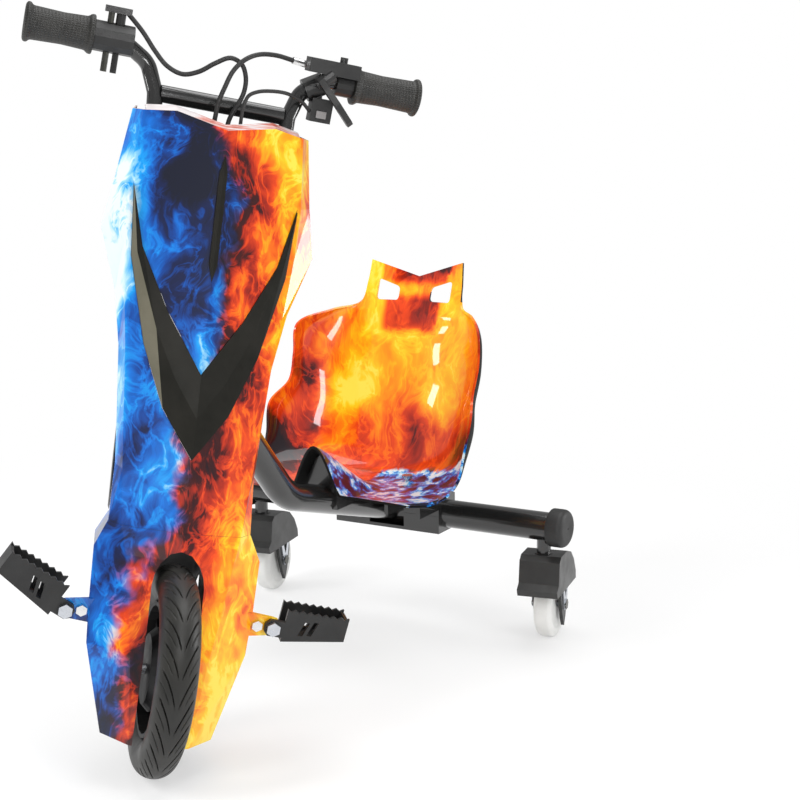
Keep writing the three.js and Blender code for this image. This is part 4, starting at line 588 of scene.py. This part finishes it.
# Detailed pieces in mesh code
def outward_mesh(name, points, faces):
    """An object whose faces all look outwards."""
    mesh = bpy.data.meshes.new(name)
    mesh.from_pydata([tuple(point) for point in points], [], faces)
    mesh.validate()
    work = bmesh.new()
    work.from_mesh(mesh)
    bmesh.ops.recalc_face_normals(work, faces=work.faces)
    work.to_mesh(mesh)
    work.free()
    obj = bpy.data.objects.new(name, mesh)
    bpy.context.scene.collection.objects.link(obj)
    return obj


CREASE = math.radians(32)


def add_mesh(name, points, faces, material, body, replaced, crease=CREASE):
    """A smooth piece on a CAD body, sharp where two faces meet at more than the crease angle."""
    obj = outward_mesh(name, points, faces)
    obj.data.materials.append(material)
    obj.data.shade_smooth()
    obj.data.set_sharp_from_angle(angle=crease)
    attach(obj, body)
    if replaced:
        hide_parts(replaced)
    return obj


def ring_faces(rings, sides, closed):
    """Quads between rings of points, each ring closed on itself."""
    faces = []
    for i in range(rings if closed else rings - 1):
        for j in range(sides):
            near, far = i * sides, (i + 1) % rings * sides
            faces.append((near + j, near + (j + 1) % sides, far + (j + 1) % sides, far + j))
    return faces


def lathe(name, profile, centre, matrix, sides, material, body, replaced=True):
    """A profile of (along, radius) points, closed, turned about the local X axis through centre."""
    points = []
    for along, radius in profile:
        for j in range(sides):
            turn = 2 * math.pi * j / sides
            spoke = Vector((along, radius * math.sin(turn), radius * math.cos(turn)))
            points.append(matrix @ ((Vector(centre) + spoke) * MM))
    faces = ring_faces(len(profile), sides, True)
    return add_mesh(name + "_turned", points, faces, material, body, name if replaced else None)


def rounded(profile, radius, steps=4):
    """A closed profile with its corners rounded, where its sides are long enough."""
    made = []
    for i, corner in enumerate(profile):
        here = Vector(corner)
        before, after = Vector(profile[i - 1]) - here, Vector(profile[(i + 1) % len(profile)]) - here
        reach = min(radius, before.length * 0.45, after.length * 0.45)
        start, end = here + before.normalized() * reach, here + after.normalized() * reach
        for k in range(steps + 1):
            share = k / steps
            made.append(start * (1 - share) ** 2 + here * 2 * share * (1 - share) + end * share ** 2)
    return made


def curve_place(points, share):
    """A place on the smooth curve through points, with the CAD's own spacing."""
    place = share * (len(points) - 1)
    i = min(int(place), len(points) - 2)
    w = place - i
    b, c = points[i], points[i + 1]
    a = points[i - 1] if i > 0 else b * 2 - c
    d = points[i + 2] if i + 2 < len(points) else c * 2 - b
    ab, bc, cd = (max((q - p).length ** 0.5, 1e-4) for p, q in ((a, b), (b, c), (c, d)))
    leave = ((b - a) / ab - (c - a) / (ab + bc) + (c - b) / bc) * bc
    arrive = ((c - b) / bc - (d - b) / (bc + cd) + (d - c) / cd) * bc
    return (
        b * (2 * w ** 3 - 3 * w ** 2 + 1)
        + leave * (w ** 3 - 2 * w ** 2 + w)
        + c * (3 * w ** 2 - 2 * w ** 3)
        + arrive * (w ** 3 - w ** 2)
    )


def filleted(points, radius, steps=7):
    """Straight runs joined by bends of one radius."""
    path = [points[0]]
    for before, here, after in zip(points, points[1:], points[2:]):
        back, ahead = (before - here).normalized(), (after - here).normalized()
        half = back.angle(ahead) / 2
        reach = radius / math.tan(half)
        reach = min(reach, (before - here).length * 0.49, (after - here).length * 0.49)
        true_radius = reach * math.tan(half)
        centre = here + (back + ahead).normalized() * (true_radius / math.sin(half))
        start, end = here + back * reach - centre, here + ahead * reach - centre
        sweep = start.angle(end)
        for k in range(steps + 1):
            share = k / steps
            near = math.sin((1 - share) * sweep) / math.sin(sweep)
            far = math.sin(share * sweep) / math.sin(sweep)
            path.append(centre + start * near + end * far)
    return [*path, points[-1]]


def sweep_points(path, radius, sides):
    """Rings of a round section carried along a path without twisting."""
    points = []
    run = (path[1] - path[0]).normalized()
    side = run.orthogonal().normalized()
    for i, place in enumerate(path):
        ahead = (path[min(i + 1, len(path) - 1)] - path[max(i - 1, 0)]).normalized()
        side = (run.rotation_difference(ahead) @ side).normalized()
        run = ahead
        other = run.cross(side)
        for j in range(sides):
            turn = 2 * math.pi * j / sides
            points.append(place + (side * math.cos(turn) + other * math.sin(turn)) * radius)
    return points


def capped_faces(rings, sides):
    """Quads between open rings of points, with a face over each end."""
    last = (rings - 1) * sides
    return ring_faces(rings, sides, False) + [tuple(range(sides)), tuple(range(last, last + sides))]


def tube(name, path, radius, sides, material, body, matrix):
    """A round bar along a path, in place of the CAD node of the same name."""
    points = [matrix @ (point * MM) for point in sweep_points(path, radius, sides)]
    return add_mesh(name + "_swept", points, capped_faces(len(path), sides), material, body, name)


def soften(obj, name, width, segments, angle):
    """Rounds the edges where two faces meet at more than an angle."""
    edges = obj.modifiers.new(name, "BEVEL")
    edges.width = width
    edges.segments = segments
    edges.limit_method = "ANGLE"
    edges.angle_limit = angle


# Cables: radius, and the route as (x, y, height above the grips)
CABLE_ROUTES = {
    "throttle_cable": (3, [
        (-132, 296, 33), (-112, 288, 15), (-94, 282, -5), (-77, 276, -20), (-57, 272, -26), (-38, 268, -19),
        (-20, 266, -5), (-2, 266, 5), (13, 266, 0), (21, 265, -16), (21, 263, -35), (15, 261, -52),
        (8, 260, -72), (8, 254, -123), (8, 238, -173), (8, 228, -212),
    ]),
    "brake_cable": (3, [
        (79, 282, 17), (56, 277, 19), (33, 268, 16), (14, 256, 6), (1, 249, -10), (-6, 247, -31),
        (-11, 246, -52), (-12, 245, -72), (-14, 250, -123), (-16, 238, -173), (-16, 228, -212),
    ]),
    "switch_wire": (2.4, [
        (113, 285, -42), (99, 275, -32), (77, 262, -25), (54, 250, -25), (35, 244, -29), (24, 241, -36),
        (20, 240, -50), (20, 241, -69), (26, 250, -123), (30, 238, -173), (30, 228, -212),
    ]),
}
CABLE_STEPS = 7
for name, (radius, route) in CABLE_ROUTES.items():
    stops = [Vector((x, y, GRIP_Z + rise)) for x, y, rise in route]
    steps = CABLE_STEPS * (len(stops) - 1)
    path = [curve_place(stops, i / steps) for i in range(steps + 1)]
    tube(name, path, radius, 16, RUBBER, "front_end", FRONT)

# Fork uprights with their dropouts, and the crossbar
FORK_X = 45
FORK_RADIUS = 10
UPRIGHT_SLOPE = math.tan(math.radians(23.4))
CROSSBAR_Z = 778
CROSSBAR_HALF = 79
CROSSBAR_RADIUS = 11
UPRIGHT_STOPS = [(FORK_X, 145), (FORK_X, 285), (62, 400), (86, CROSSBAR_Z), (99, 812)]
BAR_BEND = 26
BAR_START_X = 134
BAR_END_X = 250
DROPOUT = [(-17, 110), (17, 110), (17, 135.5), (20, 167), (0, 167), (-17, 135.5)]
DROPOUT_HALF = 3
AXLE_HOLE_RADIUS = 6.3


def upright_y(z):
    """How far back the raked uprights stand at a height."""
    return (z - AXLE_HEIGHT) * UPRIGHT_SLOPE


def make_upright(side, name):
    stops = [Vector((side * x, upright_y(z), z)) for x, z in UPRIGHT_STOPS]
    stops += [Vector((side * x, GRIP_Y, GRIP_Z)) for x in (BAR_START_X, BAR_END_X)]
    tube("upright_" + name, filleted(stops, BAR_BEND), FORK_RADIUS, 40, PAINT, "front_end", FRONT)


def make_dropout(side, name):
    """The flat plate at an upright's foot, with a hole for the axle."""
    outline = rounded(DROPOUT, 9, 5)
    outline.sort(key=lambda p: math.atan2(p.y - AXLE_HEIGHT, p.x) % (2 * math.pi))
    turns = [2 * math.pi * k / len(outline) for k in range(len(outline))]
    hole = [Vector((AXLE_HOLE_RADIUS * math.cos(turn), AXLE_HEIGHT + AXLE_HOLE_RADIUS * math.sin(turn)))
            for turn in turns]
    points = []
    for half, ring in ((-1, outline), (1, outline), (1, hole), (-1, hole)):
        x = side * (FORK_X + half * DROPOUT_HALF)
        points += [FRONT @ (Vector((x, p.x, p.y)) * MM) for p in ring]
    add_mesh("dropout_" + name, points, ring_faces(4, len(outline), True), PAINT, "front_end", None)


for side, name in SIDES:
    make_upright(side, name)
    make_dropout(side, name)
crossbar = [Vector((x, upright_y(CROSSBAR_Z), CROSSBAR_Z)) for x in (-CROSSBAR_HALF, CROSSBAR_HALF)]
tube("handlebar_crossbar", crossbar, CROSSBAR_RADIUS, 40, PAINT, "front_end", FRONT)

# Head tube, and the main tube that leaves it at a share of its length
HEAD_FOOT_Z = 405.2
HEAD_TOP_Z = 515.3
HEAD_BORE = 18
HEAD_RADIUS = 22
MAIN_START = 0.61
MAIN_LOW = Vector((0, 330, 262))
MAIN_BEND = 90
MAIN_RADIUS = 20


def head_point(z):
    """A place on the steering axis in the rear's frame, lifted as the front end was."""
    return Vector((0, TRAIL + (z - AXLE_HEIGHT) * math.tan(RAKE), z + SETTLE / MM))


def make_frame_tubes():
    foot, top = head_point(HEAD_FOOT_Z), head_point(HEAD_TOP_Z)
    stops = [foot.lerp(top, MAIN_START), MAIN_LOW, Vector((0, CROSS_TUBE_Y, CROSS_TUBE_Z))]
    tube("main_frame", filleted(stops, MAIN_BEND, 14), MAIN_RADIUS, 48, PAINT, "frame", REAR)
    long = (top - foot).length
    outline = rounded([(0, HEAD_BORE), (0, HEAD_RADIUS), (long, HEAD_RADIUS), (long, HEAD_BORE)], 1)
    turn = (top - foot).to_track_quat("X", "Z").to_matrix().to_4x4()
    place = REAR @ Matrix.Translation(foot * MM) @ turn
    lathe("head_tube", outline, (0, 0, 0), place, 48, PAINT, "frame", False)


make_frame_tubes()

# Black liner behind the wheel cover's arch, and the turned-back edge on top of the fairing
LINER_RADIUS = 157
LINER_HALF = 42
LINER_LIP = 25
LINER_WALL = 2
LINER_START = math.radians(29)
LINER_SPAN = math.radians(32)
LINER_STEPS = 20
CREST_X = 62
CREST_Z = 764
DIP_Z = 753
CREST_FALL = 1 / 6
FACE_SWEEP = 0.34
STRIP_HALF = 98
STRIP_WALL = 2
STRIP_STEPS = 60


def make_liner():
    """A short bent channel with its lips towards the tyre."""
    half, inner = LINER_HALF, LINER_HALF - LINER_WALL
    section = rounded([
        (-half, -LINER_LIP), (-half, 0), (half, 0), (half, -LINER_LIP),
        (inner, -LINER_LIP), (inner, -LINER_WALL), (-inner, -LINER_WALL), (-inner, -LINER_LIP),
    ], 6)
    points = []
    for i in range(LINER_STEPS + 1):
        turn = LINER_START + LINER_SPAN * i / LINER_STEPS
        for x, rise in section:
            radius = LINER_RADIUS + rise
            place = Vector((x, radius * math.sin(turn), AXLE_HEIGHT + radius * math.cos(turn)))
            points.append(FRONT @ (place * MM))
    faces = capped_faces(LINER_STEPS + 1, len(section))
    add_mesh("arch_liner", points, faces, DARK, "front_end", None)


def top_edge_z(aside):
    """The fairing's top edge dips in the middle and falls away outside its two crests."""
    if aside < CREST_X:
        return DIP_Z + (CREST_Z - DIP_Z) * aside / CREST_X
    return CREST_Z - CREST_FALL * (aside - CREST_X)


def make_top_edge():
    """A strip along the fairing's top edge, sloping back and up from it."""
    section = [(3.2, -0.4), (26, 5), (26, 5 - STRIP_WALL), (3.2, -0.4 - STRIP_WALL)]
    points = []
    for i in range(STRIP_STEPS + 1):
        x = STRIP_HALF * (2 * i / STRIP_STEPS - 1)
        edge = top_edge_z(abs(x))
        front_y = face_y(edge) + FACE_SWEEP * abs(x)
        points += [FRONT @ (Vector((x, front_y + back, edge + rise)) * MM) for back, rise in section]
    faces = capped_faces(STRIP_STEPS + 1, len(section))
    # The strip's colour is a painted reflection with a painted highlight.
    add_mesh("fairing_top_edge", points, faces, TOP_EDGE_REFLECTION, "front_end", None)


make_liner()
make_top_edge()

# Front tyre: a smooth ring with swept grooves and fine sipes between them
TYRE_RADIUS = 126.4
TYRE_HALF = 24
TREAD_FOOT = 102
BEAD_RADIUS = 81
BEAD_HALF = TYRE_HALF * 0.55
TREAD_INNER = 0.06
TREAD_OUTER = 0.93
GROOVES = 24
# Each kind of cut: its shift in pitches, the shares of the half width between which it runs, its half width
# and its depth
CUTS = ((0.0, 0.07, 0.84, 1.9, 2.8), (0.5, 0.34, 0.92, 1.4, 1.5))
AROUND = 760
ACROSS = 96
WALL_STEPS = 7


def groove_depth(turn, across):
    """How deep the tread is cut at a turn round the tyre and a share of its half width."""
    aside = abs(across)
    if aside < TREAD_INNER or aside > TREAD_OUTER:
        return 0.0
    pitch = 2 * math.pi / GROOVES
    sweep = 0.30 - 0.52 * aside ** 0.62
    depth = 0.0
    for shift, inner, outer, half, deep in CUTS:
        if inner < aside < outer:
            off = (turn - sweep - shift * pitch + pitch / 2) % pitch - pitch / 2
            distance = abs(off) * TYRE_RADIUS
            taper = min(1.0, (outer - aside) / 0.12, (aside - inner) / 0.08)
            depth = max(depth, deep * max(0.0, 1 - (distance / half) ** 2) * taper)
    return depth


def wall_point(side, share):
    """A point on a side wall, from the tread's foot at 0 to the bead at 1."""
    half = TYRE_HALF * (1 - 0.42 * share ** 1.6)
    return side * half, TREAD_FOOT - (TREAD_FOOT - BEAD_RADIUS) * share


def tyre_section():
    """The tread from side to side, then one wall, the bead and the other wall."""
    section = []
    for k in range(ACROSS + 1):
        bend = math.pi * (k / ACROSS - 0.5)
        rise = max(0.0, math.cos(bend)) ** 0.9
        section.append((TYRE_HALF * math.sin(bend), TREAD_FOOT + (TYRE_RADIUS - TREAD_FOOT) * rise))
    shares = [k / WALL_STEPS for k in range(1, WALL_STEPS)]
    section += [wall_point(1, share) for share in shares]
    section += [(BEAD_HALF, BEAD_RADIUS), (-BEAD_HALF, BEAD_RADIUS)]
    return section + [wall_point(-1, share) for share in reversed(shares)]


def make_tyre():
    section = tyre_section()
    points = []
    for i in range(AROUND):
        turn = 2 * math.pi * i / AROUND
        for k, (along, radius) in enumerate(section):
            if k <= ACROSS:
                radius -= groove_depth(turn, along / TYRE_HALF)
            place = Vector((along, -radius * math.sin(turn), AXLE_HEIGHT + radius * math.cos(turn)))
            points.append(FRONT @ (place * MM))
    faces = ring_faces(AROUND, len(section), True)
    add_mesh("front_tyre_moulded", points, faces, TYRE, "front_wheel", "front_tyre", math.radians(60))


make_tyre()

# Caster wheels, end caps and grips, turned from closed outlines of (along, radius), and the cross tube
CASTER_WHEEL = [
    (-12, 4.3), (-12, 34), (-14, 38), (-14, 44), (-9.5, CASTER_RADIUS),
    (9.5, CASTER_RADIUS), (14, 44), (14, 38), (12, 34), (12, 4.3),
]
END_CAP = [
    (262, 21.3), (262, 28), (281, 28), (285.6, 25.7), (288, 21), (288, 0.4), (274.3, 0.4), (274.3, 21.3),
]
COLLAR_RADIUS = 24.5
GRIP_RADIUS = 21
GRIP_WAIST = 19.6
GRIP_BORE = 10.3
GRIP_END_X = 255
GRIPS = (("grip_left", 1, 165, "front_end"), ("throttle_grip", -1, 170, "throttle"))
CROSS_TUBE_HALF = 273.5
CROSS_TUBE_RADIUS = 21


def flipped(outline, side):
    """The outline as it is on the left, or its mirror image on the right."""
    return [(side * along, radius) for along, radius in outline]


def grip_outline(start):
    """A collar, a waisted middle, and a second collar with the closed end."""
    floor = BAR_END_X + 0.3
    return [
        (start, GRIP_BORE), (start, COLLAR_RADIUS), (start + 5, COLLAR_RADIUS), (start + 9, GRIP_RADIUS),
        (start + 38, GRIP_WAIST), (GRIP_END_X - 9, GRIP_RADIUS), (GRIP_END_X - 6, COLLAR_RADIUS),
        (GRIP_END_X - 2, COLLAR_RADIUS), (GRIP_END_X, GRIP_RADIUS), (GRIP_END_X, 0.4), (floor, 0.4),
        (floor, GRIP_BORE),
    ]


for side, name in SIDES:
    wheel, cap = "caster_wheel_" + name, "end_cap_" + name
    outline = rounded(CASTER_WHEEL, 4)
    lathe(wheel, outline, (0, CASTER_TRAIL, CASTER_RADIUS), caster_place(side), 72, WHITE, wheel)
    outline = rounded(flipped(END_CAP, side), 3)
    lathe(cap, outline, (0, CROSS_TUBE_Y, CROSS_TUBE_Z), REAR, 64, RUBBER, "frame")
for name, side, start, body in GRIPS:
    outline = rounded(flipped(grip_outline(start), side), 2.2)
    lathe(name, outline, (0, GRIP_Y, GRIP_Z), FRONT, 72, GRIP, body)
cross_path = [Vector((x, CROSS_TUBE_Y, CROSS_TUBE_Z)) for x in (-CROSS_TUBE_HALF, CROSS_TUBE_HALF)]
tube("rear_cross_tube", cross_path, CROSS_TUBE_RADIUS, 64, PAINT, "frame", REAR)

# Seat: one smooth sheet through the CAD's stations, with rounded windows and edges
SEAT_FRONT = 405
SEAT_RUN = 308
SEAT_BASE = 236
SEAT_RISE = 312
SEAT_HALF = 170
# Each station's shares: run and rise of the seat's middle, half width, run and rise of its edge
SEAT_SHARES = [
    (0, 0.045, 0.824, 0.065, 0.016),
    (0.114, 0.013, 0.941, 0.198, 0.01),
    (0.373, 0, 0.976, 0.357, 0.071),
    (0.568, 0.006, 0.982, 0.419, 0.192),
    (0.672, 0.071, 1, 0.463, 0.333),
    (0.75, 0.212, 0.918, 0.575, 0.43),
    (0.812, 0.372, 0.924, 0.627, 0.558),
    (0.854, 0.526, 0.908, 0.648, 0.696),
    (0.899, 0.679, 0.706, 0.802, 0.753),
    (0.925, 0.756, 0.518, 0.896, 0.785),
    (0.961, 0.84, 0.482, 0.948, 0.894),
    (1, 0.917, 0.465, 0.974, 0.994),
]
HEADREST_START = 0.7
HEADREST_BLEND = 0.18
POMMEL_RISE = 66
POMMEL_HALF = 42
POMMEL_RUN = 150
SEAT_SHEET = 3.6
SEAT_ROWS = 110
SEAT_COLUMNS = 84
SEAT_EDGE_ANGLE = math.radians(50)
WINDOW = [(27, 486), (64, 486), (64, 518), (27, 506)]
WINDOW_DEPTH = (560, 780)


def seat_station(half, run, rise):
    return Vector((half * SEAT_HALF, SEAT_FRONT + run * SEAT_RUN, SEAT_BASE + rise * SEAT_RISE))


seat_centre = [seat_station(0, run, rise) for run, rise, half, edge_run, edge_rise in SEAT_SHARES]
seat_edge = [seat_station(half, edge_run, edge_rise) for run, rise, half, edge_run, edge_rise in SEAT_SHARES]


def seat_place(along, across):
    """A place on the seat: curled up at the sides, straighter in the headrest, raised at the pommel."""
    centre, edge = curve_place(seat_centre, along), curve_place(seat_edge, along)
    curl = 1 - math.sqrt(max(0, 1 - across * across))
    blend = min(1, max(0, (along - HEADREST_START) / HEADREST_BLEND))
    blend = blend * blend * (3 - 2 * blend)
    lift = curl + (abs(across) - curl) * blend
    x = edge.x * across
    y = centre.y + (edge.y - centre.y) * lift
    z = centre.z + (edge.z - centre.z) * lift
    u, w = abs(x) / POMMEL_HALF, abs(y - SEAT_FRONT) / POMMEL_RUN
    rise = (1 - u * u) ** 1.5 * math.cos(math.pi / 2 * w) ** 2 if u < 1 and w < 1 else 0
    return Vector((x, y, z + POMMEL_RISE * rise))


def seat_normal(along, across):
    step = 1e-3
    ahead = seat_place(min(1, along + step), across) - seat_place(max(0, along - step), across)
    beside = seat_place(along, min(1, across + step)) - seat_place(along, max(-1, across - step))
    return ahead.cross(beside).normalized()


def sheet_faces(rows, columns):
    """Quads on both sides of a grid and round its rim, where the second side's points follow the first's."""
    wide = columns + 1
    count = (rows + 1) * wide
    faces = []
    for i in range(rows):
        for j in range(columns):
            a = i * wide + j
            b, c, d = a + 1, a + wide + 1, a + wide
            faces.append((a, b, c, d))
            faces.append((a + count, d + count, c + count, b + count))
    rim = list(range(columns)) + [i * wide + columns for i in range(rows)]
    rim += [rows * wide + columns - j for j in range(columns)] + [(rows - i) * wide for i in range(rows)]
    return faces + [(a, a + count, b + count, b) for a, b in zip(rim, rim[1:] + rim[:1])]


def cut_window(seat, side):
    """A window with rounded corners through the headrest."""
    outline = rounded(WINDOW, 6, 5)
    points = [REAR @ (Vector((side * x, y, z)) * MM) for y in WINDOW_DEPTH for x, z in outline]
    cutter = outward_mesh("window", points, capped_faces(2, len(outline)))
    hole = seat.modifiers.new("window", "BOOLEAN")
    hole.operation = "DIFFERENCE"
    hole.solver = "EXACT"
    hole.object = cutter
    bpy.ops.object.modifier_apply(modifier=hole.name)
    bpy.data.objects.remove(cutter)


def is_seat_back(centre, normal):
    """Whether a face looks away from where the rider sits."""
    rider = Vector((0, SEAT_FRONT + 0.3 * SEAT_RUN, SEAT_BASE + 0.75 * SEAT_RISE))
    return normal.dot((rider - centre).normalized()) < -0.12


def make_seat():
    top, bottom = [], []
    for i in range(SEAT_ROWS + 1):
        for j in range(SEAT_COLUMNS + 1):
            along, across = i / SEAT_ROWS, math.sin(math.pi / 2 * (2 * j / SEAT_COLUMNS - 1))
            place = seat_place(along, across)
            top.append(REAR @ (place * MM))
            bottom.append(REAR @ ((place + seat_normal(along, across) * SEAT_SHEET) * MM))
    faces = sheet_faces(SEAT_ROWS, SEAT_COLUMNS)
    seat = add_mesh("seat_moulding", top + bottom, faces, SEAT, "frame", "seat_shell", SEAT_EDGE_ANGLE)
    bpy.context.view_layer.objects.active = seat
    for side, name in SIDES:
        cut_window(seat, side)
    paint_where(seat, DARK, REAR, is_seat_back)
    soften(seat, "soft rim", 0.0011, 3, SEAT_EDGE_ANGLE)
    weighted = seat.modifiers.new("flat faces", "WEIGHTED_NORMAL")
    weighted.keep_sharp = False
    seat.data.shade_smooth()


make_seat()

# Softened edges on the CAD's solids, by the width of their bevel in metres
SOFT_EDGES = {
    0.0020: ["front_shell", "wheel_cover", "switch_box", "caster_hood_left", "caster_hood_right"],
    0.0016: ["throttle_housing"],
    0.0014: ["brake_perch"],
    0.0012: ["brake_lever", "horn_button", "hub_motor"],
    0.0010: ["chevron_trim", "slot_trim", "rear_cover", "seat_clamp_plate", "lower_yoke", "upper_yoke",
             "peg_bolt_left", "peg_bolt_right"],
    0.0008: ["side_panel_left", "side_panel_right", "top_cover", "seat_bracket_rear"],
    0.0006: ["foot_peg_left", "foot_peg_right", "peg_bracket_left", "peg_bracket_right", "caster_axle_left",
             "caster_axle_right"],
}
FACET_CREASE = math.radians(12)
for width, names in SOFT_EDGES.items():
    for name in names:
        soften(nodes[name], "soft edges", width, 2, math.radians(24))
for name, obj in nodes.items():
    obj.data.shade_smooth()
    obj.data.set_sharp_from_angle(angle=FACET_CREASE if name in SHELLS else CREASE)
    weighted = obj.modifiers.new("flat faces", "WEIGHTED_NORMAL")
    weighted.keep_sharp = True

# Floor and backdrop
FLOOR_EDGE = 12
GLOW_START = 0.6
GLOW_END = 1.6
GLOW_LEAST = 0.5
WORLD_LIGHT = 0.42


def floor_material():
    """Pale grey under the scooter, which takes its shadow, and glowing white further out."""
    mat = Material("floor")
    place = mat.coordinates()
    shade = mat.curve(mat.noise(place, 3, 3), [(0.3, 0.93), (0.7, 0.95)])
    mat.set(Base_Color=shade, Roughness=0.6, Specular_IOR_Level=0.2)
    seen = mat.rays("Is Camera Ray", "Is Glossy Ray", "Is Transmission Ray")
    away = mat.node("ShaderNodeVectorMath", operation="LENGTH")
    mat.link(place, away.inputs[0])
    clear = mat.step(away.outputs["Value"], GLOW_START, GLOW_END, GLOW_LEAST, 1.0)
    glow = mat.node("ShaderNodeEmission")
    glow.inputs["Strength"].default_value = 1.0
    surface = mat.blend(mat.times(seen, clear), mat.shader.outputs[0], glow.outputs[0])
    mat.link(surface, mat.output.inputs["Surface"])
    return mat.material


def make_floor():
    corners = [(x * FLOOR_EDGE, y * FLOOR_EDGE, 0) for x, y in ((-1, -1), (1, -1), (1, 1), (-1, 1))]
    mesh = bpy.data.meshes.new("floor")
    mesh.from_pydata(corners, [], [(0, 1, 2, 3)])
    mesh.materials.append(floor_material())
    floor = bpy.data.objects.new("floor", mesh)
    bpy.context.scene.collection.objects.link(floor)


def make_world():
    """White to the camera, and a dimmer white as light."""
    world = bpy.data.worlds.new("world")
    world.use_nodes = True
    bpy.context.scene.world = world
    sky = Nodes(world.node_tree)
    whites = []
    for strength in (WORLD_LIGHT, 1.0):
        white = sky.node("ShaderNodeBackground")
        sky.put(grey(1), white.inputs["Color"])
        white.inputs["Strength"].default_value = strength
        whites.append(white.outputs[0])
    seen = sky.rays("Is Camera Ray", "Is Transmission Ray")
    output = sky.node("ShaderNodeOutputWorld")
    sky.link(sky.blend(seen, *whites), output.inputs[0])


make_floor()
make_world()


# Lamps: name, place, target, size in metres and power in watts
def lamp(name, place, target, size, energy, mirrored=False):
    """A soft panel that lights the scene and leaves no bright patch on gloss, unless mirrored."""
    data = bpy.data.lights.new(name, "AREA")
    data.shape = "RECTANGLE"
    data.size, data.size_y = size
    data.energy = energy
    made = bpy.data.objects.new(name, data)
    made.location = place
    made.visible_glossy = mirrored
    made.rotation_euler = (Vector(target) - Vector(place)).to_track_quat("-Z", "Y").to_euler()
    bpy.context.scene.collection.objects.link(made)
    return made


def card(name, place, target, size, energy):
    """A bright panel that shows in gloss alone, where the photo has its reflections."""
    made = lamp(name, place, target, size, energy, mirrored=True)
    made.visible_diffuse = False
    made.visible_camera = False


lamp("key", (-1.6, -2.6, 2.6), (0, 0, 0.4), (1.2, 2.0), 62)
lamp("side", (2.8, -0.8, 1.6), (0, 0, 0.4), (0.9, 2.2), 36)
lamp("left", (-2.6, -0.5, 1.2), (0, 0, 0.5), (0.7, 2.4), 30)
lamp("low front", (-0.6, -3.2, 0.9), (0, -0.3, 0.5), (0.35, 1.6), 11)
lamp("window", (1.6, -2.3, 1.0), (0, 0.3, 0.4), (0.35, 1.1), 7)
lamp("top", (0.3, 0.6, 3.0), (0, 0.1, 0.3), (2.4, 2.0), 45, mirrored=True)
card("seat card", (0.77, -0.9, 1.08), (0.77, 5, 1.08), (0.28, 0.54), 7)
card("seat glint", (-1.82, -1.16, 1.06), (0.06, 0.36, 0.4), (0.2, 0.28), 2.6)
card("edge card", (1.65, 1.5, 0.75), (0.08, -0.03, 0.58), (0.5, 0.9), 16)

bpy.context.scene.view_settings.view_transform = "Standard"
